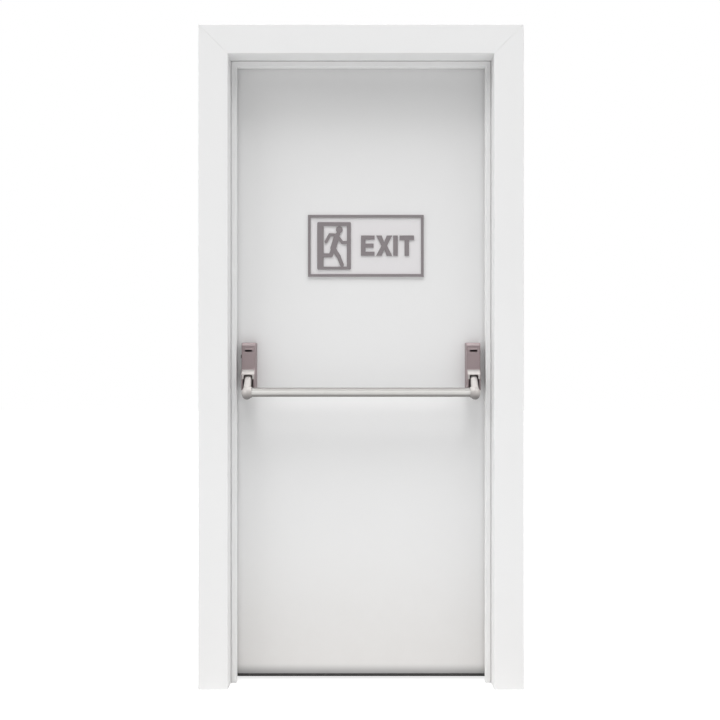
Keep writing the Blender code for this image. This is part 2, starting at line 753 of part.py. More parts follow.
def make_arms():
    """The push bar: a tube held in the sockets of two cast arms."""
    tube_place = Vector((0, BAR_AXIS.y - ARM_REACH, BAR_HEIGHT))
    tube_end = ARM_X - TUBE_END_GAP
    bore = BAR_PIN_RADIUS + PIN_CLEARANCE
    socket = TUBE_RADIUS + SEAT
    for name, side in SIDES:
        x = side * ARM_X
        arm = arm_sweep(f"arm_{name}", x)
        hub_place = (x, BAR_AXIS.y, BAR_AXIS.z)
        join(arm, rod(f"arm_hub_{name}", HUB_RADIUS, ARM_WIDTH, BAR, hub_place))
        form = bmesh.new()
        half_steps = ROUND_STEPS // 2
        bmesh.ops.create_uvsphere(form, u_segments=ROUND_STEPS, v_segments=half_steps, radius=KNUCKLE_RADIUS)
        knuckle_place = tube_place + Vector((x + side * KNUCKLE_OUT, KNUCKLE_BACK, -KNUCKLE_SAG))
        join(arm, add(f"knuckle_{name}", to_mesh(form, f"knuckle_{name}"), BAR, knuckle_place, ALONG_X))
        collar_place = tube_place + Vector((x - side * SOCKET_LENGTH / 2, 0, 0))
        join(arm, rod(f"collar_{name}", COLLAR_RADIUS, SOCKET_LENGTH, BAR, collar_place, steps=ROUND_STEPS))
        cut(arm, rod(f"arm_bore_{name}", bore, 2 * ARM_WIDTH, BAR, hub_place))
        socket_place = tube_place + Vector((side * (tube_end + SEAT - SOCKET_LENGTH), 0, 0))
        cut(arm, rod(f"socket_{name}", socket, 2 * SOCKET_LENGTH, BAR, socket_place, steps=ROUND_STEPS))
    inner = TUBE_RADIUS - TUBE_WALL
    ring = ((TUBE_RADIUS, tube_end), (TUBE_RADIUS, -tube_end), (inner, -tube_end), (inner, tube_end))
    ring += ring[:1]
    turned("push_tube", ring, BAR, tube_place, ALONG_X, SATIN_STEEL, ROUND_STEPS)


clear_scene()
PARTS = new_collection("fire_door")
CUTTERS = new_collection("fire_door_cutters")

CASING_PAINT = new_material("casing_paint", (0.80, 0.80, 0.80), 0.45)
LEAF_PAINT = new_material("leaf_paint", (0.78, 0.78, 0.78), 0.45)
SIGN_WHITE = new_material("sign_white", (0.78, 0.76, 0.76), 0.5)
SIGN_GREY = new_material("sign_grey", (0.20, 0.19, 0.195), 0.5)
GREY_PAINT = new_material("housing_grey", (0.25, 0.235, 0.245), 0.5)
ARM_PAINT = new_material("arm_paint", (0.60, 0.59, 0.56), 0.4)
HINGE_METAL = new_material("hinge_metal", (0.58, 0.58, 0.57), 0.35, 0.9)
SATIN_STEEL = new_material("satin_steel", (0.66, 0.66, 0.63), 0.3, 0.9)
BARE_STEEL = new_material("bare_steel", (0.55, 0.55, 0.54), 0.35, 0.9)
GALVANISED = new_material("galvanised", (0.55, 0.56, 0.57), 0.5, 0.9)
RUBBER = new_material("black_rubber", (0.02, 0.02, 0.02), 0.8)
PALE_RUBBER = new_material("pale_rubber", (0.62, 0.62, 0.61), 0.7)
DARK_STRIP = new_material("dark_strip", (0.05, 0.05, 0.05), 0.6)
MINERAL_WOOL = new_material("mineral_wool", (0.55, 0.50, 0.30), 0.9)

bracket_middle = Vector(((BRACKET_INNER + BRACKET_OUTER) / 2, -BRACKET_CENTRE, 0))
DOOR = new_axis("door_origin", bracket_middle)
DOOR["place"] = Vector()
LEAF_AXIS = new_axis("leaf_hinge_axis", HINGE_AXIS, DOOR)
BAR = new_axis("bar_pivot_axis", BAR_AXIS, LEAF_AXIS, HINGE_AXIS)

make_frame()
make_smoke_seals()
make_keep()
make_fixings()
make_hinges()
push_skin, wool = make_skins()
make_edge_strips()
make_lock(push_skin, wool)
make_sign()
make_housings()
make_arms()
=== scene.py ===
"""Finishes, hardware details and a plain stage for a steel fire door.

Lengths are in metres and places are in the frame's axes: X to the right as someone who pushes the door
sees it, Y into the wall from the push side, and Z up from the floor.
"""

import json
import math

import bmesh
import bpy
from bpy.props import FloatProperty, FloatVectorProperty, IntProperty, PointerProperty
from mathutils import Matrix, Vector


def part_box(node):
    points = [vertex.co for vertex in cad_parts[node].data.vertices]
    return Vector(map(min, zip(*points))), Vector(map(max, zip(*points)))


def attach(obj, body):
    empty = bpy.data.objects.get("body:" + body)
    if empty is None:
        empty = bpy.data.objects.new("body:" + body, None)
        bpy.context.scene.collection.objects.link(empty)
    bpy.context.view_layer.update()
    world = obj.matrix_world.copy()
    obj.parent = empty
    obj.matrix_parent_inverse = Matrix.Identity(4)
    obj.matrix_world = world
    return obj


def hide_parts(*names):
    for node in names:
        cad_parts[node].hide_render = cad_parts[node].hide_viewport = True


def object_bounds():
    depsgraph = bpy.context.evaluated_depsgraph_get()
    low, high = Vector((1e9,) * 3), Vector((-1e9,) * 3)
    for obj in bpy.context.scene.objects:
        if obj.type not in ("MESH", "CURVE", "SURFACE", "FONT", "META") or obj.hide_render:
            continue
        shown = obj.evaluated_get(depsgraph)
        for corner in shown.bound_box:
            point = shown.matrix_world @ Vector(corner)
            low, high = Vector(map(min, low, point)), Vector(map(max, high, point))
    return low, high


bl_info = {
    "name": "Fire Door Dressing",
    "version": (1, 0, 0),
    "blender": (4, 5, 0),
    "location": "View3D > Sidebar > Fire Door",
    "description": "Finishes, hardware details and a plain stage for a steel fire door",
    "category": "Object",
}

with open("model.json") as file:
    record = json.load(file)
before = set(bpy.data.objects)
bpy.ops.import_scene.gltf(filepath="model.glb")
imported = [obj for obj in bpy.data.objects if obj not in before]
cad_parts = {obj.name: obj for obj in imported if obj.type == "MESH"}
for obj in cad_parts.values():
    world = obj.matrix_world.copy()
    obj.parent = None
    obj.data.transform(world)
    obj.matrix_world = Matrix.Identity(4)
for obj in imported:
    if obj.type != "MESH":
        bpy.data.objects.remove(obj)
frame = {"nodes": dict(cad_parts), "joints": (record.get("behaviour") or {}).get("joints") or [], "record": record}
CAD_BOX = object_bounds()

# Places read from the frame
LEAF_LOW, LEAF_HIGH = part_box("leaf_push_skin")
SIGN_LOW, SIGN_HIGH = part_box("sign_plate")
TUBE_LOW, TUBE_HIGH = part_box("push_tube")
JOINTS = {joint["name"]: Vector(joint["pos_m"]) for joint in frame["joints"]}
PIVOT = JOINTS["bar_push"]
HINGE_AXIS = JOINTS["leaf_swing"]
TUBE_AXIS = (TUBE_LOW + TUBE_HIGH) / 2
TUBE_RADIUS = (TUBE_HIGH.z - TUBE_LOW.z) / 2
SIDES = (("left", -1), ("right", 1))
HINGES = (1, 2, 3)

# Housing of each arm. Heights are counted from the arm's pivot and depths from the leaf
COVER_WALL = 0.0025
COVER_TAPER = 0.0022
COVER_EDGE = 0.0032
COVER_SOFTENING = 0.0004
CHAMFER_DEPTH = 0.007
CHAMFER_HEIGHT = 0.010
RAMP_TOP = 0.005
RAMP_FOOT = -0.012
RAMP_DEPTH = 0.0145
ARCH_SIDE = 0.0048
ARCH_TOP = -0.012
ARCH_BACK = 0.005
ARCH_CORNER = 0.010
RECESS_DEPTH = 0.001
RECESS_RIM = 0.003
RECESS_CORNER = 0.003
SLOT_WIDTH = 0.026
SLOT_HEIGHT = 0.0065
SLOT_DROP = 0.0285
SLOT_CORNER = 0.00195
SIDE_SCREW_HEIGHT = 0.051

# Lip over a housing's slot: its round underside and its brow are shares of its rise and height
LIP_HEIGHT = 0.0048
LIP_RISE = 0.0022
LIP_SINK = 0.0004
LIP_ROUND = 0.45
LIP_BROW = (0.8, 0.62)

# The lip's rise grows from its ends: distance from the end, and share of the rise
LIP_ENDS = ((0.0, 0.35), (0.003, 0.85), (0.007, 1.0))

# Hood around a housing's archway
HOOD_SHEET = 0.0009
HOOD_MARGIN = 0.0022
HOOD_START = 0.0010
HOOD_SINK = 0.0004
HOOD_FOOT = -0.028
HOOD_OPENING = 0.0150
HOOD_LAP = 0.0008
HOOD_CORNER = 0.006
HOOD_SOFTENING = 0.0003

# Arm and tube
ARM_THICKNESS = 0.0125
ARM_WIDTH = 0.020
ARM_FLARE = 1.36
ARM_BOW = 0.001
ARM_SQUARENESS = 0.7
ARM_VOXEL = 0.0008
HUB_RADIUS = 0.010
PIN_RADIUS = 0.0043
SOCKET_LENGTH = 0.0175
SOCKET_WALL = 0.0025
KNUCKLE_RADIUS = 0.0215
KNUCKLE_NARROWING = 0.84
KNUCKLE_BACK = 0.003
KNUCKLE_SAG = 0.004
ROD_EDGE = 0.0012
TUBE_WALL = 0.0015
TUBE_CHAMFER = 0.0006

# Hinges. Groove marks are shares of the barrel, and screws are shares of the plate's width and half height
BARREL_RADIUS = 0.009
BARREL_DOME = 0.003
GROOVE = 0.0006
GROOVE_MARKS = (0.86, 0.22)
HINGE_HALF = 0.060
HINGE_PIN_RADIUS = 0.005
HINGE_PIN_LENGTH = 0.046
HINGE_PIN_TIP = 0.0016
PLATE_INSET = 0.005
PLATE_GAP = 0.002
PLATE_WIDTH = 0.038
PLATE_THICKNESS = 0.003
PLATE_CORNER = 0.006
PLATE_EDGE = 0.0006
PLATE_SCREWS = ((0.16, 0.62), (0.30, 0.0), (0.16, -0.62))
WEB_WIDTH = 0.010
SEAT = 0.0003

# Seals. A smoke seal's numbers are shares of its width and height, and a rib's are shares of its pitch
SEAL_FOOT = 0.28
SEAL_MIDDLE = 0.40
SEAL_LIP = ((1.0, 0.6), (0.97, 0.68), (0.93, 0.62))
SEAL_LIP_START = 0.82
SEAL_LIP_EDGE = 0.6
SEAL_FOOT_EDGE = 0.7
RIB_FOOT = 0.34
RIB_TIP = 0.22

# Screws: the head's radius and rise, where no setting gives the radius, and how deep it is sunk
SIDE_SCREW = (0.0065, 0.0028)
TIE_SCREW = (0.0052, 0.0026)
HINGE_SCREW_RISE = 0.0007
HINGE_SCREW_SHANK = 0.001
LOCK_SCREW_RISE = 0.0004
LOCK_SCREW_SHANK = 0.0006

# A screw head's form, as shares of its rise, its radius and its drive
HEAD_SHOULDER = 0.35
HEAD_TOP = 0.72
DRIVE_WIDTH = 0.55
DRIVE_DEPTH = 0.6
DRIVE_FOOT = 0.9
CROSS_WIDTH = 0.24

# Floor anchors, wall ties and latch. A stud is a profile of (radius, height)
BRACKET_SHEET = 0.003
WASHER_THICKNESS = 0.0018
NUT_SEAT = 0.005
NUT_SINK = 0.0001
NUT_RADIUS = 0.0075
NUT_HEIGHT = 0.0065
NUT_SOFTENING = 0.0006
STUD = ((0, 0), (0.0040, 0), (0.0040, 0.0125), (0.0032, 0.0135), (0, 0.0135))
TIE_SHEET = 0.002
TIE_SCREW_DEPTH = 0.022
LATCH_EDGE = 0.0008

# Sign. Shares are of the stroke, but of the E's width for its bar and of the X's waist for its crotch
BORDER_WIDTH = 0.0095
E_WIDTH = 0.0475
X_WIDTH = 0.0560
T_WIDTH = 0.0505
LETTER_GAPS = {"e": 0.0056, "x": 0.0036, "i": 0.0062, "t": 0.0}
THIN_STROKE = 0.9
MIDDLE_BAR = 0.93
SLANT_STROKE = 1.22
X_WAIST = 0.62
X_CROTCH = 1.25
HINGE_POST = 0.0225
LATCH_POST = 0.0140
LINTEL = 0.0128
SILL = 0.0098
HEAD_RADIUS = 0.0118

# Joints of the sign's figure, as shares of the doorway's width and height
FIGURE = {
    "head": (0.655, 0.842),
    "chin": (0.625, 0.755),
    "neck": (0.600, 0.730),
    "chest": (0.575, 0.690),
    "hip": (0.475, 0.450),
    "back shoulder": (0.540, 0.728),
    "back elbow": (0.375, 0.735),
    "back hand": (0.262, 0.585),
    "front shoulder": (0.615, 0.690),
    "front elbow": (0.745, 0.568),
    "front hand": (0.905, 0.572),
    "front knee": (0.635, 0.275),
    "front foot": (0.735, 0.098),
    "back knee": (0.405, 0.300),
    "back foot": (0.180, 0.300),
}

# Bars between the figure's joints, with their widths
LIMBS = (
    ("chest", "hip", 0.0200),
    ("neck", "chin", 0.0150),
    ("back shoulder", "back elbow", 0.0105),
    ("back elbow", "back hand", 0.0105),
    ("front shoulder", "front elbow", 0.0105),
    ("front elbow", "front hand", 0.0105),
    ("hip", "front knee", 0.0150),
    ("front knee", "front foot", 0.0135),
    ("hip", "back knee", 0.0145),
    ("back knee", "back foot", 0.0130),
)

# How finely shapes are stepped
TUBE_STEPS = 96
ROUND_STEPS = 64
SCREW_STEPS = 48
SMALL_STEPS = 32
HEAD_STEPS = 28
LOBE_STEPS = 14
BLADE_RINGS = 12
LIMB_STEPS = 10
FLOOR_STEPS = 8
CORNER_STEPS = 6
COVER_STEPS = 5
EDGE_STEPS = 3
SOFT_STEPS = 2
CIRCULAR = 0.5
SHARP_ANGLE = math.radians(40)
WELD = 0.00001

# Sockets of a Mix node that blends colours
COLOUR_A = 6
COLOUR_B = 7
COLOUR_RESULT = 2

# Dust and painted shade thin out up to a height, a painted shadow at the leaf's foot thins out between two
# heights, painted shade darkens the hood's upper edge, and a share of a colour is left under painted shade
DUST_AND_SHADE_HEIGHT = 0.85
FOOT_SHADE_LOW = 0.016
FOOT_SHADE_HIGH = 0.060
HOOD_SHADE_FADE = 0.010
PAINTED_SHADE_SHARE = 0.25

# Colours of the stage and of what has no setting
WHITE = (1.0, 1.0, 1.0, 1.0)
FLOOR_COLOUR = (0.8, 0.8, 0.8, 1.0)
FLOOR_GLOW_SHARE = 0.6
DARK_DUST = (0.20, 0.195, 0.185, 1.0)
PALE_DUST = (0.45, 0.44, 0.42, 1.0)
ZINC_BLOOM = (0.70, 0.71, 0.71, 1.0)
GRAPHITE = ((0.030, 0.030, 0.032, 1.0), (0.075, 0.075, 0.078, 1.0), (0.2, 0.2, 0.21, 1.0))
WOOL = ((0.42, 0.37, 0.20, 1.0), (0.66, 0.60, 0.38, 1.0), (0.45, 0.41, 0.26, 1.0))


def colour(name, description, default):
    """A setting for a surface's colour."""
    return FloatVectorProperty(
        name=name, description=description, subtype="COLOR", min=0, max=1, default=default
    )


def length(name, description, default):
    """A setting for a length."""
    return FloatProperty(name=name, description=description, unit="LENGTH", precision=6, default=default)


def number(name, description, default, **limits):
    """A setting for a plain number."""
    return FloatProperty(name=name, description=description, default=default, **limits)


def light(name, description, default):
    """A setting for a lamp: strength, then width, height above the horizon and turn left in degrees."""
    return FloatVectorProperty(name=name, description=description, size=4, default=default)


class FinishSettings(bpy.types.PropertyGroup):
    """Colours of the door's surfaces."""

    casing_paint: colour("Casing paint", "Powder coat of the frame and its casing", (0.80, 0.80, 0.80))
    leaf_paint: colour("Leaf paint", "Powder coat of the leaf", (0.78, 0.78, 0.78))
    sign_white: colour("Sign ground", "Lacquer of the sign's plate", (0.725, 0.71, 0.718))
    sign_grey: colour("Sign relief", "Lacquer of the sign's border, figure and letters", (0.215, 0.193, 0.20))
    housing_grey: colour("Housing paint", "Paint of the panic bar's housings", (0.283, 0.226, 0.232))
    arm_paint: colour("Arm paint", "Silver paint of the arms and of the housings' hoods", (0.45, 0.425, 0.41))
    satin_tube: colour("Tube steel", "Satin steel of the push tube", (0.64, 0.628, 0.61))
    bare_steel: colour("Bare steel", "Lock, keep, pins and hinges", (0.56, 0.56, 0.55))
    zinc: colour("Zinc", "Hot-dip zinc on the brackets and ties inside the wall", (0.56, 0.575, 0.59))
    rubber: colour("Rubber", "Seal under the leaf", (0.045, 0.044, 0.042))
    pale_rubber: colour("Pale rubber", "Smoke seals around the leaf", (0.62, 0.62, 0.61))
    paint_roughness: number(
        "Paint roughness", "Roughness of the powder coat", 0.56, subtype="FACTOR", min=0, max=1
    )
    peel_height: length("Orange peel", "Height of the powder coat's ripples", 0.00003)


class SignSettings(bpy.types.PropertyGroup):
    """Sizes of the sign's raised letters and figure."""

    letter_height: length("Letter height", "Height of the capitals", 0.0705)
    stroke: length("Stroke", "Width of the letters' strokes", 0.0158)
    relief: length("Relief", "How far letters and figure stand out", 0.0030)
    word_from_middle: length("Word offset", "Left end of the word, right of the sign's middle", -0.0170)
    word_drop: length("Word drop", "Foot of the word, below the sign's middle", 0.0345)
    symbol_width: length("Symbol width", "Width of the doorway around the figure", 0.1175)
    symbol_height: length("Symbol height", "Height of the doorway around the figure", 0.1650)
    symbol_inset: length("Symbol inset", "From the sign's left edge to the doorway around the figure", 0.0325)


class StageSettings(bpy.types.PropertyGroup):
    """The lamps, the floor and the camera."""

    key_light: light("Key light", "From high above the camera", (1.5, 30.0, 70.0, 0.0))
    high_light: light("High light", "Wider, from almost overhead", (1.07, 36.0, 80.0, 0.0))
    left_light: light("Left light", "From the left, into the right reveal", (1.43, 44.0, 40.0, 62.0))
    right_light: light("Right light", "From the right, into the left reveal", (0.93, 44.0, 40.0, -58.0))
    sky: number("Sky", "Strength of the light from all around", 0.02, min=0)
    floor_glow: number("Floor glow", "Strength of the white that the camera sees on the floor", 1.35, min=0)
    floor_size: length("Floor size", "Side of the floor", 60.0)
    eye_height: length("Eye height", "Camera above the floor", 1.047)
    eye_distance: length("Eye distance", "Camera in front of the casing", 3.300)
    lens: number("Lens", "Focal length", 48.85, subtype="DISTANCE_CAMERA", unit="CAMERA")
    picture_width: IntProperty(name="Picture width", description="Pixels across the picture", default=720)
    shift_right: number("Shift right", "Pixels that the view moves right", -1.0)
    shift_up: number("Shift up", "Pixels that the view moves up", 20.0)


class Level:
    """A number that varies over a surface. Arithmetic on it adds Math nodes."""

    def __init__(self, nodes, socket):
        self.nodes = nodes
        self.socket = socket

    def _math(self, operation, first, second):
        return self.nodes.level("ShaderNodeMath", {"operation": operation}, {0: first, 1: second})

    def __add__(self, other):
        return self._math("ADD", self, other)

    def __sub__(self, other):
        return self._math("SUBTRACT", self, other)

    def __rsub__(self, other):
        return self._math("SUBTRACT", other, self)

    def __mul__(self, other):
        return self._math("MULTIPLY", self, other)

    __radd__ = __add__
    __rmul__ = __mul__


class Nodes:
    """A node tree, filled one node at a time."""

    def __init__(self, tree):
        self.tree = tree
        tree.nodes.clear()

    def add(self, kind, settings=None, sockets=None):
        """A node of a type, with its settings, and with values or links for its sockets."""
        node = self.tree.nodes.new(kind)
        for key, value in (settings or {}).items():
            setattr(node, key, value)
        for key, value in (sockets or {}).items():
            self.feed(node.inputs[key], value)
        return node

    def feed(self, socket, value):
        """Sets a socket to a value, or links it to a level or to another socket."""
        if isinstance(value, Level):
            value = value.socket
        if isinstance(value, bpy.types.NodeSocket):
            self.tree.links.new(value, socket)
        else:
            socket.default_value = value

    def level(self, kind, settings=None, sockets=None, output=0):
        """A node's output, ready for arithmetic."""
        return Level(self, self.add(kind, settings, sockets).outputs[output])


def finish_name(slot):
    """The name of a slot's finish, because the frame's plain materials already have the slots' names."""
    return f"{slot}_finish"


class Surface(Nodes):
    """A finish: a Principled BSDF whose inputs come from patterns in the object's own space."""

    def __init__(self, slot, roughness, metallic=0.0, specular=0.5):
        self.material = bpy.data.materials.new(finish_name(slot))
        self.material.use_nodes = True
        super().__init__(self.material.node_tree)
        sockets = {"Roughness": roughness, "Metallic": metallic, "Specular IOR Level": specular}
        self.shader = self.add("ShaderNodeBsdfPrincipled", None, sockets)
        self.add("ShaderNodeOutputMaterial", None, {"Surface": self.shader.outputs["BSDF"]})
        self.place = self.add("ShaderNodeTexCoord").outputs["Object"]

    def stretched(self, scale):
        """The object's coordinates, multiplied along each axis."""
        node = self.add("ShaderNodeVectorMath", {"operation": "MULTIPLY"}, {0: self.place, 1: scale})
        return node.outputs["Vector"]

    def noise(self, scale, detail=2.0, roughness=0.5, place=None):
        """Soft noise, with a scale of so many clouds a metre."""
        sockets = {"Vector": place or self.place, "Scale": scale, "Detail": detail, "Roughness": roughness}
        return self.level("ShaderNodeTexNoise", None, sockets)

    def height(self):
        """How high above the floor a point is."""
        return self.level("ShaderNodeSeparateXYZ", None, {"Vector": self.place}, "Z")

    def fade(self, level, start, end, low=0.0, high=1.0):
        """A level mapped from one range to another, smoothly and without passing its ends."""
        sockets = {"Value": level, "From Min": start, "From Max": end, "To Min": low, "To Max": high}
        return self.level("ShaderNodeMapRange", {"interpolation_type": "SMOOTHSTEP"}, sockets)

    def blend(self, first, second, amount):
        """A colour between two colours."""
        sockets = {"Factor": amount, COLOUR_A: first, COLOUR_B: second}
        return self.add("ShaderNodeMix", {"data_type": "RGBA"}, sockets).outputs[COLOUR_RESULT]

    def wear(self, colour, roughness, bumps, distance):
        """Gives the shader its varying colour, roughness and bumps, and returns the material."""
        bump = self.add("ShaderNodeBump", None, {"Strength": 1.0, "Distance": distance, "Height": bumps})
        self.feed(self.shader.inputs["Base Color"], colour)
        self.feed(self.shader.inputs["Roughness"], roughness)
        self.feed(self.shader.inputs["Normal"], bump.outputs["Normal"])
        return self.material


def tinted(colour, share, warmth=0.0):
    """A colour made darker or lighter by a share, and warmer or cooler."""
    red, green, blue = (channel * share for channel in colour)
    return (red * (1 + warmth), green, blue * (1 - warmth), 1.0)


def powder_coat(slot, colour, roughness, peel, dust=0.0, painted_shade=0.0):
    """Sprayed and baked paint: fine ripples, a little uneven, darker towards the floor with dust and painted
    shade, and with a painted shadow at its foot.
    """
    surface = Surface(slot, roughness, specular=0.45)
    cloud = surface.noise(3.0, 3.0)
    ripple = surface.noise(420.0, 1.0)
    grain = surface.noise(1900.0, 1.0)
    # Darker towards the floor: partly dust, partly painted shade for the dimmer light low down
    low = 1 - surface.fade(surface.height(), 0.0, DUST_AND_SHADE_HEIGHT)
    dust_and_shade = low * low * (0.85 + 0.3 * surface.noise(14.0, 6.0, 0.65)) * dust
    paint = surface.blend(tinted(colour, 0.985), tinted(colour, 1.012), cloud)
    shade = surface.blend(paint, tinted(colour, 0.55, 0.08), dust_and_shade)
    # Painted shadow: a dark band along the very foot, where shade falls
    if painted_shade:
        foot = surface.fade(surface.height(), FOOT_SHADE_LOW, FOOT_SHADE_HIGH, painted_shade, 0.0)
        shade = surface.blend(shade, tinted(colour, PAINTED_SHADE_SHARE), foot)
    rough = roughness - 0.04 + 0.08 * cloud + 0.05 * ripple + dust_and_shade
    return surface.wear(shade, rough, ripple + 0.25 * grain, peel)


def fleck_paint(slot, colour, roughness, arm=False):
    """Metallic paint on a cast part, with fine bright flecks and an uneven skin.

    On an arm and its hood, painted shade darkens the hood's upper edge and the underside of the knuckle.
    """
    surface = Surface(slot, roughness, 0.1)
    cells = {"Vector": surface.place, "Scale": 1500.0}
    flecks = surface.level("ShaderNodeTexVoronoi", None, cells, "Distance")
    bright = 1 - surface.fade(flecks, 0.12, 0.45)
    cast = surface.noise(160.0, 3.0)
    cloud = surface.noise(22.0, 2.0)
    body = surface.blend(tinted(colour, 0.96), tinted(colour, 1.03), cloud)
    paint = surface.blend(body, tinted(colour, 1.18), 0.35 * bright)
    # Painted shade: the hood's upper edge and the knuckle's underside are darkened by height, standing in for how
    # light falls on them
    if arm:
        edge = PIVOT.z + RAMP_TOP
        thin = surface.fade(surface.height(), edge - HOOD_SHADE_FADE, edge, 0.0, 0.62)
        painted_shade = surface.fade(surface.height(), TUBE_AXIS.z - KNUCKLE_RADIUS, TUBE_AXIS.z, 0.78, 0.0)
        paint = surface.blend(paint, tinted(colour, PAINTED_SHADE_SHARE), thin + painted_shade)
    rough = roughness - 0.05 + 0.10 * cast + 0.04 * cloud
    return surface.wear(paint, rough, cast + 0.3 * bright, 0.00005)


def brushed_metal(slot, colour, roughness, along, metallic=0.9, shaded_rail=None):
    """Ground metal with long fine scratches along one axis.

    Given its height and radius, a round bar gets painted shade above and below its front, so that its front looks
    lit.
    """
    surface = Surface(slot, roughness, metallic)
    stretch = [900.0, 900.0, 900.0]
    stretch[along] = 9.0
    lines = surface.noise(1.0, 3.0, 0.6, surface.stretched(stretch))
    cloud = surface.noise(12.0, 2.0)
    smears = surface.fade(surface.noise(30.0, 4.0, 0.6), 0.45, 0.8)
    metal = surface.blend(tinted(colour, 0.90), tinted(colour, 1.07), lines)
    worn_and_shaded = surface.blend(metal, tinted(colour, 0.86, 0.02), 0.35 * smears)
    # Painted shade: the bar is darkened above and below its front by height, standing in for how light falls on it
    if shaded_rail:
        middle, radius = shaded_rail
        above = surface.fade(surface.height(), middle + 0.18 * radius, middle + 0.50 * radius, 0.0, 0.86)
        below = surface.fade(surface.height(), middle - 0.75 * radius, middle - 0.20 * radius, 0.85, 0.0)
        worn_and_shaded = surface.blend(worn_and_shaded, tinted(colour, PAINTED_SHADE_SHARE, 0.02), above + below)
    rough = roughness - 0.06 + 0.14 * lines + 0.05 * cloud + 0.05 * smears
    return surface.wear(worn_and_shaded, rough, lines, 0.000012)


def zinc_coat(slot, colour):
    """Hot-dip zinc: flat crystals that each shine a little differently, with white bloom between."""
    surface = Surface(slot, 0.45, 0.85)
    swirl = surface.add("ShaderNodeTexNoise", None, {"Scale": 60.0}).outputs["Color"]
    sockets = {0: swirl, 1: (0.004, 0.004, 0.004), 2: surface.place}
    warped = surface.add("ShaderNodeVectorMath", {"operation": "MULTIPLY_ADD"}, sockets).outputs["Vector"]
    cells = {"Vector": warped, "Scale": 130.0}
    crystal = surface.add("ShaderNodeTexVoronoi", None, cells).outputs["Position"]
    shine = surface.level("ShaderNodeTexWhiteNoise", None, {"Vector": crystal})
    bloom = surface.fade(surface.noise(45.0, 5.0, 0.7), 0.5, 0.72)
    metal = surface.blend(tinted(colour, 0.80), tinted(colour, 1.15), shine)
    dull = surface.blend(metal, ZINC_BLOOM, 0.4 * bloom)
    return surface.wear(dull, 0.34 + 0.18 * shine + 0.2 * bloom, shine, 0.00002)


def soft_rubber(slot, colour, dust):
    """Extruded rubber with dust left in its pores."""
    surface = Surface(slot, 0.7, specular=0.35)
    pores = surface.noise(1300.0, 2.0)
    talc = surface.fade(surface.noise(35.0, 5.0, 0.65), 0.52, 0.8)
    body = surface.blend(tinted(colour, 0.85), tinted(colour, 1.15), pores)
    dusty = surface.blend(body, dust, 0.4 * talc)
    return surface.wear(dusty, 0.62 + 0.14 * pores + 0.12 * talc, pores, 0.00004)


def graphite_strip(slot):
    """The strip that swells in a fire: pressed graphite with a fine sparkle."""
    surface = Surface(slot, 0.6, 0.1)
    grain = surface.noise(900.0, 4.0, 0.7)
    flakes = surface.fade(surface.noise(2200.0, 1.0), 0.6, 0.75)
    dark, grey, sparkle = GRAPHITE
    strip = surface.blend(surface.blend(dark, grey, grain), sparkle, 0.5 * flakes)
    return surface.wear(strip, 0.5 + 0.2 * grain, grain, 0.00008)


def wool_board(slot):
    """Mineral wool boards, matted in layers."""
    surface = Surface(slot, 0.95)
    fibres = surface.noise(1.0, 5.0, 0.7, surface.stretched((600.0, 90.0, 220.0)))
    clumps = surface.noise(25.0, 3.0)
    deep, pale, dull = WOOL
    board = surface.blend(surface.blend(deep, pale, fibres), dull, 0.5 * clumps)
    return surface.wear(board, 0.9 + 0.08 * fibres, fibres, 0.0004)


def new_object(name, data):
    """An object in the scene, with a lamp, a camera or a mesh for its data. A form becomes a mesh."""
    if isinstance(data, bmesh.types.BMesh):
        form, data = data, bpy.data.meshes.new(name)
        form.to_mesh(data)
    obj = bpy.data.objects.new(name, data)
    bpy.context.scene.collection.objects.link(obj)
    return obj


def shaped(form, *steps):
    """A form with modifiers applied. A step is a modifier's type and settings, with forms for objects."""
    base = new_object("base", form)
    helpers = [base]
    for kind, settings in steps:
        modifier = base.modifiers.new(kind, kind)
        for key, value in settings.items():
            if isinstance(value, bmesh.types.BMesh):
                value = new_object("helper", value)
                helpers.append(value)
            setattr(modifier, key, value)
    bpy.context.view_layer.update()
    graph = bpy.context.evaluated_depsgraph_get()
    mesh = bpy.data.meshes.new_from_object(base.evaluated_get(graph))
    result = bmesh.new()
    result.from_mesh(mesh)
    bpy.data.meshes.remove(mesh)
    for helper in helpers:
        data = helper.data
        bpy.data.objects.remove(helper)
        bpy.data.meshes.remove(data)
    return result


def joined(form, *others):
    """The union of closed forms."""
    return shaped(form, *[("BOOLEAN", {"operation": "UNION", "object": other}) for other in others])


def cut(form, *others):
    """A closed form less other closed forms."""
    return shaped(form, *[("BOOLEAN", {"operation": "DIFFERENCE", "object": other}) for other in others])


def softened(form, width):
    """A form whose sharp edges are rounded."""
    settings = {"width": width, "segments": SOFT_STEPS, "limit_method": "ANGLE", "angle_limit": SHARP_ANGLE}
    return shaped(form, ("BEVEL", settings))


def round_edges(form, edges, radius, steps):
    """Rounds some of a form's edges."""
    bmesh.ops.bevel(form, geom=edges, offset=radius, segments=steps, profile=CIRCULAR, affect="EDGES")


def block(low, high, radius=0.0):
    """A box between two corners, with round edges where it has a radius."""
    form = bmesh.new()
    low, high = Vector(low), Vector(high)
    bmesh.ops.create_cube(form, size=1)
    bmesh.ops.scale(form, vec=high - low, verts=form.verts)
    bmesh.ops.translate(form, vec=(low + high) / 2, verts=form.verts)
    if radius:
        round_edges(form, form.edges[:], radius, EDGE_STEPS)
    return form


def tile(low, high, corner):
    """A block whose edges that run from front to back are rounded."""
    form = block(low, high)
    into = [edge for edge in form.edges if abs(edge.verts[0].co.y - edge.verts[1].co.y) > WELD]
    round_edges(form, into, corner, CORNER_STEPS)
    return form


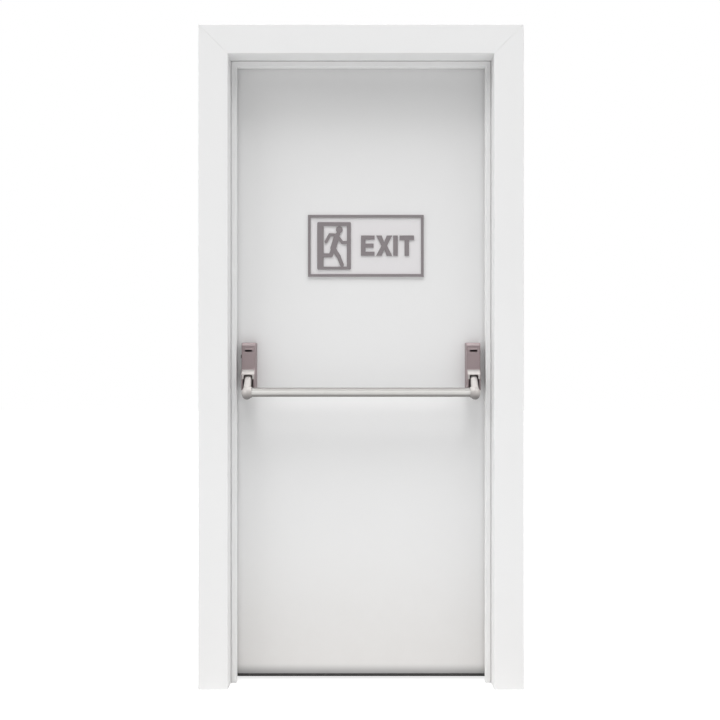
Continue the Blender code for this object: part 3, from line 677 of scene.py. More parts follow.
def loft(rings):
    """A closed skin over a row of rings that have as many points each."""
    form = bmesh.new()
    rows = [[form.verts.new(point) for point in ring] for ring in rings]
    for row, after in zip(rows, rows[1:]):
        for step in range(len(row)):
            form.faces.new((row[step - 1], row[step], after[step], after[step - 1]))
    form.faces.new(rows[0][::-1])
    form.faces.new(rows[-1])
    bmesh.ops.recalc_face_normals(form, faces=form.faces[:])
    return form


def circle(steps):
    """Pairs of (cosine, sine) all the way round."""
    angles = [math.tau * step / steps for step in range(steps)]
    return [(math.cos(angle), math.sin(angle)) for angle in angles]


def quarter(steps=EDGE_STEPS):
    """Pairs of (cosine, sine) from 0 to a right angle."""
    angles = [math.pi / 2 * step / steps for step in range(steps + 1)]
    return [(math.cos(angle), math.sin(angle)) for angle in angles]


def lathe(profile, steps=ROUND_STEPS):
    """A profile of (radius, height) points spun about Z. A point on the axis is one vertex."""
    form = bmesh.new()
    rings = {}
    for radius, height in dict.fromkeys(profile):
        points = [(radius * x, radius * y, height) for x, y in circle(steps)]
        if radius:
            rings[radius, height] = [form.verts.new(point) for point in points]
        else:
            rings[radius, height] = [form.verts.new(points[0])] * steps
    for point, after in zip(profile, profile[1:]):
        row, next_row = rings[point], rings[after]
        for step in range(steps):
            corners = (row[step - 1], row[step], next_row[step], next_row[step - 1])
            form.faces.new(list(dict.fromkeys(corners)))
    bmesh.ops.recalc_face_normals(form, faces=form.faces[:])
    return form


def placing(place, towards=(0, 0, 1)):
    """The matrix that turns the Z axis towards a direction and then moves to a place."""
    turn = Vector((0, 0, 1)).rotation_difference(Vector(towards)).to_matrix().to_4x4()
    return Matrix.Translation(place) @ turn


def moved(form, *where):
    """A form moved to a place and turned towards a direction."""
    bmesh.ops.transform(form, matrix=placing(*where), verts=form.verts)
    return form


def scatter(form, places, towards):
    """Copies of a form at several places, all facing one way, as one form."""
    mesh = bpy.data.meshes.new("copies")
    form.to_mesh(mesh)
    result = bmesh.new()
    for place in places:
        known = len(result.verts)
        result.from_mesh(mesh)
        result.verts.ensure_lookup_table()
        bmesh.ops.transform(result, matrix=placing(place, towards), verts=result.verts[known:])
    bpy.data.meshes.remove(mesh)
    return result


def round_corners(half_width, half_height, corner, inset=0.0):
    """Points around a rectangle with round corners, drawn in by an inset."""
    points = []
    reach = corner - inset
    for turn, (side_x, side_y) in enumerate(((1, 1), (-1, 1), (-1, -1), (1, -1))):
        arc = quarter() if turn % 2 == 0 else quarter()[::-1]
        for across, up in arc:
            x = side_x * (half_width - corner + reach * across)
            y = side_y * (half_height - corner + reach * up)
            points.append((x, y))
    return points


def round_plate(half_width, half_height, thickness, corner, edge):
    """A plate in XY with round corners and softened edges. Its back is at zero and its front at -Z."""
    rings = [[(x, y, 0) for x, y in round_corners(half_width, half_height, corner)]]
    for cosine, sine in quarter():
        outline = round_corners(half_width, half_height, corner, edge * (1 - cosine))
        rings.append([(x, y, -thickness + edge * (1 - sine)) for x, y in outline])
    return loft(rings)


def drive_reach(radius, lobes, angle):
    """How far a screw's drive reaches at an angle: a hexagon for 6 lobes, or else a cross."""
    if lobes == 6:
        sector = math.pi / 3
        return radius * math.cos(sector / 2) / math.cos(angle % sector - sector / 2)
    offset = abs((angle + math.pi / 4) % (math.pi / 2) - math.pi / 4)
    cosine, sine = max(math.cos(offset), WELD), max(math.sin(offset), WELD)
    narrow = radius * CROSS_WIDTH
    return max(min(radius / cosine, narrow / sine), narrow / cosine)


def screw_head(radius, rise, lobes=4, shank=0.0):
    """A screw's head with its seat at zero and its top at +Z: rise is how far it stands out."""
    angles = [math.tau * step / SCREW_STEPS for step in range(SCREW_STEPS)]
    levels = [(radius, -shank), (radius, rise * HEAD_SHOULDER)]
    for cosine, sine in quarter()[1:]:
        reach = radius * (HEAD_TOP + (1 - HEAD_TOP) * cosine)
        levels.append((reach, rise * (HEAD_SHOULDER + (1 - HEAD_SHOULDER) * sine)))
    rows = [([reach] * SCREW_STEPS, height) for reach, height in levels]
    drive = [drive_reach(radius * DRIVE_WIDTH, lobes, angle) for angle in angles]
    rows.append((drive, rise))
    rows.append(([DRIVE_FOOT * reach for reach in drive], rise - radius * DRIVE_DEPTH))
    rings = []
    for reaches, height in rows:
        round_points = zip(reaches, circle(SCREW_STEPS))
        rings.append([(reach * x, reach * y, height) for reach, (x, y) in round_points])
    return loft(rings)


def flatten_faces(piece):
    """Lets the large faces decide how a piece is shaded, so flat faces look flat beside round edges."""
    weighted = piece.modifiers.new("Weighted normals", "WEIGHTED_NORMAL")
    weighted.keep_sharp = True


def make_piece(name, form, body, slot, replaced=()):
    """Turns a form into a piece that rides on a body and has its slot's finish."""
    piece = new_object(name, form)
    form.free()
    piece.data.materials.append(bpy.data.materials[finish_name(slot)])
    piece.data.shade_smooth()
    piece.data.set_sharp_from_angle(angle=SHARP_ANGLE)
    flatten_faces(piece)
    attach(piece, body)
    if replaced:
        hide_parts(*replaced)
    return piece


def smooth_folds():
    """Geometry nodes that weld the imported faces and shade the folds smooth, up to an angle."""
    tree = bpy.data.node_groups.new("smooth_folds", "GeometryNodeTree")
    tree.interface.new_socket("Geometry", in_out="INPUT", socket_type="NodeSocketGeometry")
    tree.interface.new_socket("Geometry", in_out="OUTPUT", socket_type="NodeSocketGeometry")
    nodes = Nodes(tree)
    source = nodes.add("NodeGroupInput").outputs[0]
    welded = nodes.add("GeometryNodeMergeByDistance", None, {"Geometry": source, "Distance": WELD}).outputs[0]
    smooth = nodes.add("GeometryNodeSetShadeSmooth", {"domain": "FACE"}, {"Geometry": welded}).outputs[0]
    angle = nodes.add("GeometryNodeInputMeshEdgeAngle").outputs["Unsigned Angle"]
    sharp = nodes.add("FunctionNodeCompare", {"operation": "GREATER_THAN"}, {"A": angle, "B": SHARP_ANGLE})
    sockets = {"Geometry": smooth, "Selection": sharp.outputs[0], "Shade Smooth": False}
    edged = nodes.add("GeometryNodeSetShadeSmooth", {"domain": "EDGE"}, sockets).outputs[0]
    nodes.add("NodeGroupOutput", None, {0: edged})
    return tree


class DOOR_OT_finishes(bpy.types.Operator):
    """Make the finishes and give them to the frame's own parts"""

    bl_idname = "door.finishes"
    bl_label = "Finishes"

    def execute(self, context):
        finish = context.scene.door_finish
        rough, peel = finish.paint_roughness, finish.peel_height
        # Casing and leaf are darker towards the floor, partly dust and partly painted shade; the leaf also gets a
        # painted shadow at its foot
        powder_coat("casing_paint", finish.casing_paint, rough, peel, dust=0.12)
        powder_coat("leaf_paint", finish.leaf_paint, rough, peel, dust=0.36, painted_shade=0.85)
        powder_coat("sign_white", finish.sign_white, rough, peel / 2)
        powder_coat("sign_grey", finish.sign_grey, 0.5, peel / 2)
        fleck_paint("housing_grey", finish.housing_grey, 0.5)
        # The arm paint has painted shade on the hood's upper edge and under the knuckle
        fleck_paint("arm_paint", finish.arm_paint, 0.52, arm=True)
        # The push tube has painted shade above and below its front
        shaded_rail = (TUBE_AXIS.z, TUBE_RADIUS)
        brushed_metal("satin_tube", finish.satin_tube, 0.45, along=0, metallic=0.35, shaded_rail=shaded_rail)
        brushed_metal("hinge_metal", finish.bare_steel, 0.40, along=2)
        brushed_metal("bare_steel", finish.bare_steel, 0.34, along=2)
        zinc_coat("galvanised", finish.zinc)
        soft_rubber("black_rubber", finish.rubber, DARK_DUST)
        soft_rubber("pale_rubber", finish.pale_rubber, PALE_DUST)
        graphite_strip("dark_strip")
        wool_board("mineral_wool")
        folds = smooth_folds()
        for part in frame["record"]["subparts"]:
            node = frame["nodes"][part["node"]]
            node.data.materials.clear()
            node.data.materials.append(bpy.data.materials[finish_name(part["material_slot"])])
            if "custom_normal" in node.data.attributes:
                node.data.attributes.remove(node.data.attributes["custom_normal"])
            node.modifiers.new("Smooth folds", "NODES").node_group = folds
            flatten_faces(node)
        return {"FINISHED"}


class DOOR_OT_seals(bpy.types.Operator):
    """Make the lobed smoke seals and the ribbed seal under the leaf"""

    bl_idname = "door.seals"
    bl_label = "Seals"

    lobe: number("Lobe", "Share of the seal's width that its hollow lobe takes", 0.58)
    ribs: IntProperty(name="Ribs", description="Ribs under the leaf", default=5)
    rib_root: length("Rib root", "Solid part above the ribs", 0.0045)

    def execute(self, context):
        for side in ("left", "right", "head"):
            name = f"smoke_seal_{side}"
            low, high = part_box(name)
            run, across = (0, 2) if side == "head" else (2, 0)
            rings = []
            for end in (low[run], high[run]):
                ring = []
                for offset, height in self.lobed(high[across] - low[across], high.y - low.y):
                    point = Vector((0, low.y + height, 0))
                    point[run] = end
                    point[across] = low[across] + offset
                    ring.append(point)
                rings.append(ring)
            make_piece(f"{name}_profile", loft(rings), "frame", "pale_rubber", [name])
        low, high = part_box("bottom_seal")
        outline = self.ribbed(high.y - low.y, high.z - low.z)
        rings = [[(end, low.y + across, low.z + up) for across, up in outline] for end in (low.x, high.x)]
        make_piece("bottom_seal_ribs", loft(rings), "leaf", "black_rubber", ["bottom_seal"])
        return {"FINISHED"}

    def lobed(self, width, height):
        """A flat foot glued to the stop, a round hollow lobe's outside, and a thin lip beside it."""
        foot = height * SEAL_FOOT
        radius = width * self.lobe / 2
        lobe = []
        for step in range(LOBE_STEPS + 1):
            angle = math.pi * step / LOBE_STEPS
            across = width * SEAL_MIDDLE + radius * math.cos(angle)
            lobe.append((across, foot + (height - foot) * math.sin(angle)))
        lip = [(width * across, height * up) for across, up in SEAL_LIP]
        edge = [(0, 0), (width, 0), (width, foot * SEAL_LIP_EDGE)]
        return edge + lip + [(width * SEAL_LIP_START, foot)] + lobe + [(0, foot * SEAL_FOOT_EDGE)]

    def ribbed(self, width, height):
        """A flat back with tapered ribs hanging down from it."""
        pitch = width / self.ribs
        top = height - self.rib_root
        foot, tip = pitch * RIB_FOOT, pitch * RIB_TIP
        outline = [(0, height), (width, height)]
        for rib in reversed(range(self.ribs)):
            middle = (rib + 0.5) * pitch
            outline += [(middle + foot, top), (middle + tip, 0.0), (middle - tip, 0.0), (middle - foot, top)]
        return outline


class DOOR_OT_hinges(bpy.types.Operator):
    """Make both halves of the lift-off hinges, with their screws"""

    bl_idname = "door.hinges"
    bl_label = "Hinges"

    screw_radius: length("Screw radius", "Head of a hinge screw", 0.0044)

    def execute(self, context):
        for number in HINGES:
            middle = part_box(f"hinge_frame_half_{number}")[0].z + HINGE_HALF
            for body, way in (("frame", -1), ("leaf", 1)):
                self.make_half(number, body, way, middle)
        return {"FINISHED"}

    def make_half(self, number, body, way, middle):
        """One half of a hinge: the frame's is below the middle, and the leaf's above it."""
        node = f"hinge_{body}_half_{number}"
        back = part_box(node)[0].y
        front = back + PLATE_THICKNESS
        half_height = HINGE_HALF / 2 - PLATE_INSET
        plate_x = HINGE_AXIS.x + way * (PLATE_GAP + PLATE_WIDTH / 2)
        plate_z = middle + way * HINGE_HALF / 2
        plate = round_plate(PLATE_WIDTH / 2, half_height, PLATE_THICKNESS, PLATE_CORNER, PLATE_EDGE)
        matrix = Matrix(((1, 0, 0, plate_x), (0, 0, -1, back), (0, 1, 0, plate_z), (0, 0, 0, 1)))
        bmesh.ops.transform(plate, matrix=matrix, verts=plate.verts)
        bmesh.ops.recalc_face_normals(plate, faces=plate.faces[:])
        web_from, web_to = sorted((HINGE_AXIS.x, HINGE_AXIS.x + way * WEB_WIDTH))
        web = block((web_from, back, plate_z - half_height), (web_to, front, plate_z + half_height))
        half = joined(self.barrel(way, middle), plate, web)
        make_piece(f"{node}_detail", half, body, "hinge_metal", [node])
        head = screw_head(self.screw_radius, HINGE_SCREW_RISE, shank=HINGE_SCREW_SHANK)
        spots = [
            (plate_x + way * PLATE_WIDTH * across, front, plate_z + half_height * up)
            for across, up in PLATE_SCREWS
        ]
        make_piece(f"hinge_{body}_screws_{number}", scatter(head, spots, (0, 1, 0)), body, "bare_steel")

    def barrel(self, way, middle):
        """Half a barrel with turned grooves: the frame's half has the pin, and the leaf's the bore."""
        rim = HINGE_HALF - BARREL_DOME
        dome = reversed(quarter(CORNER_STEPS)[:-1])
        profile = [(0, HINGE_HALF)]
        profile += [(BARREL_RADIUS * cosine, rim + BARREL_DOME * sine) for cosine, sine in dome]
        for mark in GROOVE_MARKS:
            ring = rim * mark
            profile += [(BARREL_RADIUS, ring + GROOVE), (BARREL_RADIUS - GROOVE, ring)]
            profile += [(BARREL_RADIUS, ring - GROOVE)]
        profile += [(BARREL_RADIUS, GROOVE), (BARREL_RADIUS - GROOVE, 0.0)]
        if way > 0:
            bore, depth = HINGE_PIN_RADIUS + SEAT, HINGE_PIN_LENGTH + SEAT
            profile += [(bore, 0.0), (bore, depth), (0, depth)]
            return moved(lathe(profile), (HINGE_AXIS.x, HINGE_AXIS.y, middle))
        pin, tip, end = HINGE_PIN_RADIUS, HINGE_PIN_TIP, -HINGE_PIN_LENGTH
        barrel = lathe(profile + [(pin, 0.0), (pin, end + tip), (pin - tip, end), (0, end)])
        bmesh.ops.scale(barrel, vec=(1, 1, -1), verts=barrel.verts)
        bmesh.ops.recalc_face_normals(barrel, faces=barrel.faces[:])
        return moved(barrel, Vector((HINGE_AXIS.x, HINGE_AXIS.y, middle)) - Vector((0, 0, SEAT)))


class DOOR_OT_lock(bpy.types.Operator):
    """Make the screws of the lock and its keep, and the latch with its round edges"""

    bl_idname = "door.lock"
    bl_label = "Lock"

    screw_radius: length("Screw radius", "Head of a lock screw", 0.0042)
    screw_inset: length("Screw inset", "From the plate's end to its screw", 0.012)

    def execute(self, context):
        latch_low, latch_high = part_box("latch_bolt")
        lock_low, lock_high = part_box("mortice_lock")
        keep_low, keep_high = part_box("strike_plate")
        middle = (latch_low.y + latch_high.y) / 2
        self.screws("faceplate_screws", "leaf", lock_low, lock_high, lock_high.x, middle, 1)
        middle = (keep_low.y + keep_high.y) / 2
        self.screws("keep_screws", "frame", keep_low, keep_high, keep_low.x, middle, -1)
        latch = block(latch_low, latch_high, LATCH_EDGE)
        make_piece("latch_bolt_detail", latch, "leaf", "bare_steel", ["latch_bolt"])
        return {"FINISHED"}

    def screws(self, name, body, low, high, face, middle, way):
        """The two screws near a plate's ends."""
        head = screw_head(self.screw_radius, LOCK_SCREW_RISE, shank=LOCK_SCREW_SHANK)
        ends = (low.z + self.screw_inset, high.z - self.screw_inset)
        spots = [(face, middle, height) for height in ends]
        make_piece(name, scatter(head, spots, (way, 0, 0)), body, "bare_steel")


class DOOR_OT_fixings(bpy.types.Operator):
    """Make the anchors in the floor brackets and the screws in the wall ties"""

    bl_idname = "door.fixings"
    bl_label = "Fixings"

    anchor_radius: length("Anchor radius", "Washer of an anchor", 0.011)

    def execute(self, context):
        for side, way in SIDES:
            make_piece(f"floor_anchor_{side}", self.anchor(side), "frame", "galvanised")
            spots = []
            for number in HINGES:
                low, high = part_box(f"wall_tie_{side}_{number}")
                inner = high.x - TIE_SHEET if side == "right" else low.x + TIE_SHEET
                spots.append((inner, low.y + TIE_SCREW_DEPTH, (low.z + high.z) / 2))
            screws = scatter(screw_head(*TIE_SCREW), spots, (-way, 0, 0))
            make_piece(f"tie_screws_{side}", screws, "frame", "galvanised")
        return {"FINISHED"}

    def anchor(self, side):
        """A stud with its washer and nut, in the middle of a floor bracket."""
        low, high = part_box(f"foot_bracket_{side}")
        middle = (low + high) / 2
        seat = low.z + BRACKET_SHEET
        top = WASHER_THICKNESS
        radius = self.anchor_radius
        washer = lathe([(0, 0), (radius, 0), (radius, top), (NUT_SEAT, top), (0, top)])
        moved(washer, (middle.x, middle.y, seat))
        nut = moved(self.hex_nut(), (middle.x, middle.y, seat + top - NUT_SINK))
        stud = moved(lathe(STUD, SMALL_STEPS), (middle.x, middle.y, seat))
        return joined(washer, nut, stud)

    def hex_nut(self):
        """A six-sided nut with soft edges."""
        corners = [(NUT_RADIUS * x, NUT_RADIUS * y) for x, y in circle(6)]
        form = loft([[(x, y, height) for x, y in corners] for height in (0, NUT_HEIGHT)])
        return softened(form, NUT_SOFTENING)


class DOOR_OT_sign(bpy.types.Operator):
    """Make the sign's border, its word and the figure that runs through a doorway"""

    bl_idname = "door.sign"
    bl_label = "Sign"

    edge: length("Edge", "Rounding of the raised edges", 0.0005)
    corner: length("Corner", "Rounding of the doorway's corners", 0.0038)

    def execute(self, context):
        sizes = context.scene.door_sign
        self.ground = SIGN_LOW.y
        self.relief = sizes.relief
        self.make_border()
        self.make_word(sizes)
        self.make_symbol(sizes)
        return {"FINISHED"}

    def make_sign_piece(self, name, form, replaced=()):
        """Turns a form into a piece of the sign's relief, with soft edges."""
        make_piece(name, softened(form, self.edge), "leaf", "sign_grey", replaced)

    def raised(self, outline):
        """A closed outline of (x, z) points, raised from the sign's plate."""
        return loft([[(x, y, z) for x, z in outline] for y in (self.ground, self.ground - self.relief)])

    def make_border(self):
        """A raised frame around the sign."""
        low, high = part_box("sign_border")
        inset = Vector((BORDER_WIDTH, -BORDER_WIDTH, BORDER_WIDTH))
        border = cut(block(low, high), block(low + inset, high - inset))
        self.make_sign_piece("sign_border_detail", border, ["sign_border"])

    def make_word(self, sizes):
        """The word in raised capitals, one piece a letter."""
        tall, stroke = sizes.letter_height, sizes.stroke
        left = (SIGN_LOW.x + SIGN_HIGH.x) / 2 + sizes.word_from_middle
        foot = (SIGN_LOW.z + SIGN_HIGH.z) / 2 - sizes.word_drop
        for letter, points in self.letters(tall, stroke).items():
            form = self.raised([(left + x, foot + z) for x, z in points])
            self.make_sign_piece(f"sign_letter_{letter}", form)
            left += max(x for x, _ in points) + LETTER_GAPS[letter]

    def letters(self, tall, stroke):
        """The outline of each letter from its lower left corner, in reading order."""
        thin = stroke * THIN_STROKE
        middle = (tall - thin) / 2
        bar = E_WIDTH * MIDDLE_BAR
        slant = stroke * SLANT_STROKE
        waist = stroke * X_WAIST
        crotch = waist * X_CROTCH
        half = X_WIDTH / 2
        stem = (T_WIDTH - stroke) / 2
        e_foot = ((0, 0), (E_WIDTH, 0), (E_WIDTH, thin), (stroke, thin))
        e_bar = ((stroke, middle), (bar, middle), (bar, middle + thin), (stroke, middle + thin))
        e_top = ((stroke, tall - thin), (E_WIDTH, tall - thin), (E_WIDTH, tall), (0, tall))
        x_foot = ((0, 0), (slant, 0), (half, tall / 2 - crotch), (X_WIDTH - slant, 0), (X_WIDTH, 0))
        x_right = ((half + waist, tall / 2), (X_WIDTH, tall), (X_WIDTH - slant, tall))
        x_left = ((half, tall / 2 + crotch), (slant, tall), (0, tall), (half - waist, tall / 2))
        under = tall - stroke
        t_stem = ((stem, 0), (stem + stroke, 0), (stem + stroke, under))
        t_top = ((T_WIDTH, under), (T_WIDTH, tall), (0, tall), (0, under), (stem, under))
        return {
            "e": e_foot + e_bar + e_top,
            "x": x_foot + x_right + x_left,
            "i": ((0, 0), (stroke, 0), (stroke, tall), (0, tall)),
            "t": t_stem + t_top,
        }

    def limb(self, start, end, width):
        """A bar with round ends between two points."""
        start, end = Vector(start), Vector(end)
        along = (end - start).normalized()
        across = Vector((-along.y, along.x))
        outline = []
        for centre, way in ((end, 1), (start, -1)):
            for step in range(LIMB_STEPS + 1):
                angle = math.pi * (step / LIMB_STEPS - 0.5)
                outward = along * math.cos(angle) + across * math.sin(angle)
                outline.append(centre + width / 2 * way * outward)
        return self.raised(outline)

    def make_symbol(self, sizes):
        """A doorway, and in it a figure of round-ended bars in mid-stride."""
        wide, tall = sizes.symbol_width, sizes.symbol_height
        left = SIGN_LOW.x + sizes.symbol_inset
        foot = (SIGN_LOW.z + SIGN_HIGH.z) / 2 - tall / 2
        front = self.ground - self.relief
        outer = tile((left, front, foot), (left + wide, self.ground, foot + tall), self.corner)
        inner = block(
            (left + HINGE_POST, front - LINTEL, foot + SILL),
            (left + wide - LATCH_POST, self.ground + LINTEL, foot + tall - LINTEL),
        )
        joints = {name: (left + wide * across, foot + tall * up) for name, (across, up) in FIGURE.items()}
        mid_x, mid_z = joints["head"]
        ring = [(mid_x + HEAD_RADIUS * x, mid_z + HEAD_RADIUS * z) for x, z in circle(HEAD_STEPS)]
        limbs = [self.limb(joints[start], joints[end], width) for start, end, width in LIMBS]
        self.make_sign_piece("sign_symbol", joined(cut(outer, inner), self.raised(ring), *limbs))


class DOOR_OT_housings(bpy.types.Operator):
    """Make the housings that carry the arms, with their hoods, slots and side screw"""

    bl_idname = "door.housings"
    bl_label = "Housings"

    def execute(self, context):
        for side, way in SIDES:
            node = f"panic_cover_{side}"
            self.low, self.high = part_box(node)
            self.middle = (self.low.x + self.high.x) / 2
            self.back = LEAF_LOW.y - self.high.y
            self.foot_depth = LEAF_LOW.y - self.low.y
            self.top_depth = self.foot_depth - RAMP_DEPTH
            self.base_half = (self.high.x - self.low.x) / 2
            make_piece(f"{node}_shell", self.shell(), "leaf", "housing_grey", [node])
            make_piece(f"housing_hood_{side}", self.hood(), "leaf", "arm_paint")
            make_piece(f"slot_lip_{side}", self.lip(), "leaf", "housing_grey")
        low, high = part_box("panic_cover_left")
        place = (low.x + COVER_TAPER / 2, (low.y + high.y) / 2, PIVOT.z + SIDE_SCREW_HEIGHT)
        head = scatter(screw_head(*SIDE_SCREW, lobes=6), [place], (-1, 0, 0))
        make_piece("housing_side_screw", head, "leaf", "dark_strip")
        return {"FINISHED"}

    def half_width(self, depth):
        """Half the housing's width at a distance from the leaf: it narrows towards the front."""
        share = (depth - self.back) / (self.foot_depth - self.back)
        return self.base_half - COVER_TAPER * share

    def point(self, across, depth, up):
        """A point given from the housing's middle, the leaf and the pivot."""
        return (self.middle + across, LEAF_LOW.y - depth, PIVOT.z + up)

    def drawn(self, outline, half_width):
        """An outline of (depth, height) points drawn across the housing, to half a width that may vary."""
        sides = [
            [self.point(way * half_width(depth), depth, up) for depth, up in outline]
            for way in (-1, 1)
        ]
        return loft(sides)

    def front_block(self, half_width, depths, heights, corner):
        """A block on the housing's front, given by its half width, two depths and two heights."""
        low = self.point(-half_width, max(depths), min(heights))
        high = self.point(half_width, min(depths), max(heights))
        return tile(low, high, corner)

    def back_face(self, form):
        """The face that lies against the leaf."""
        return max(form.faces, key=lambda face: face.calc_center_median().y)

    def shell(self):
        """A cast cover open at the back: flat top, recessed face, ramp, and a deeper foot with an archway."""
        top, bottom = self.high.z - PIVOT.z, self.low.z - PIVOT.z
        outline = (
            (self.back, top),
            (self.top_depth - CHAMFER_DEPTH, top),
            (self.top_depth, top - CHAMFER_HEIGHT),
            (self.top_depth, RAMP_TOP),
            (self.foot_depth, RAMP_FOOT),
            (self.foot_depth, bottom),
            (self.back, bottom),
        )
        form = self.drawn(outline, self.half_width)
        rim = set(self.back_face(form).edges)
        round_edges(form, [edge for edge in form.edges if edge not in rim], COVER_EDGE, COVER_STEPS)
        bmesh.ops.delete(form, geom=[self.back_face(form)], context="FACES_ONLY")
        form = shaped(form, ("SOLIDIFY", {"thickness": COVER_WALL, "offset": -1.0, "use_even_offset": True}))
        past = 2 * COVER_WALL
        arch_half = self.base_half - COVER_TAPER - ARCH_SIDE
        arch_depths = (LEAF_LOW.y - PIVOT.y + ARCH_BACK, self.foot_depth + past)
        arch = self.front_block(arch_half, arch_depths, (bottom - past, ARCH_TOP), ARCH_CORNER)
        recess_half = self.half_width(self.top_depth) - RECESS_RIM
        recess_heights = (RAMP_TOP + RECESS_RIM, top - CHAMFER_HEIGHT - RECESS_RIM)
        recess_depths = (self.top_depth - RECESS_DEPTH, self.top_depth + RECESS_DEPTH)
        recess = self.front_block(recess_half, recess_depths, recess_heights, RECESS_CORNER)
        slot_middle = top - SLOT_DROP
        slot_heights = (slot_middle - SLOT_HEIGHT / 2, slot_middle + SLOT_HEIGHT / 2)
        slot_depths = (self.top_depth - past, self.top_depth + COVER_WALL)
        slot = self.front_block(SLOT_WIDTH / 2, slot_depths, slot_heights, SLOT_CORNER)
        return softened(cut(form, arch, recess, slot), COVER_SOFTENING)

    def lip(self):
        """The rounded ledge over the slot."""
        slot_top = self.high.z - PIVOT.z - SLOT_DROP + SLOT_HEIGHT / 2
        face = self.top_depth - RECESS_DEPTH - LIP_SINK
        brow_rise, brow_height = LIP_BROW
        profile = [(0.0, LIP_HEIGHT), (0.0, 0.0)]
        for cosine, sine in quarter(COVER_STEPS)[1:]:
            profile.append((LIP_RISE * sine, LIP_HEIGHT * LIP_ROUND * (1 - cosine)))
        profile.append((LIP_RISE * brow_rise, LIP_HEIGHT * brow_height))
        left = [(inset - SLOT_WIDTH / 2, share) for inset, share in LIP_ENDS]
        right = [(-across, share) for across, share in reversed(left)]
        rings = [
            [self.point(across, face + depth * share, slot_top + up) for depth, up in profile]
            for across, share in left + right
        ]
        return loft(rings)

    def hood(self):
        """The bright collar that lies on the ramp and runs down both sides of the arm."""
        half = self.half_width(self.foot_depth) - HOOD_MARGIN
        slope = Vector((RAMP_DEPTH, RAMP_FOOT - RAMP_TOP)).normalized()
        outward = Vector((-slope.y, slope.x))
        start = Vector((self.top_depth, RAMP_TOP)) + slope * HOOD_START
        corner = Vector((self.foot_depth, RAMP_FOOT))
        miter = (outward + Vector((1, 0))).normalized()
        miter = miter / miter.dot(outward)
        end = Vector((self.foot_depth, HOOD_FOOT))
        outline = [
            start - outward * HOOD_SINK,
            start + outward * HOOD_SHEET,
            corner + miter * HOOD_SHEET,
            end + Vector((HOOD_SHEET, 0)),
            end - Vector((HOOD_SINK, 0)),
            corner - miter * HOOD_SINK,
        ]
        past = 2 * COVER_WALL
        depths = (self.top_depth, self.foot_depth + past)
        opening = self.front_block(HOOD_OPENING, depths, (HOOD_FOOT - past, ARCH_TOP - HOOD_LAP), HOOD_CORNER)
        return softened(cut(self.drawn(outline, lambda depth: half), opening), HOOD_SOFTENING)


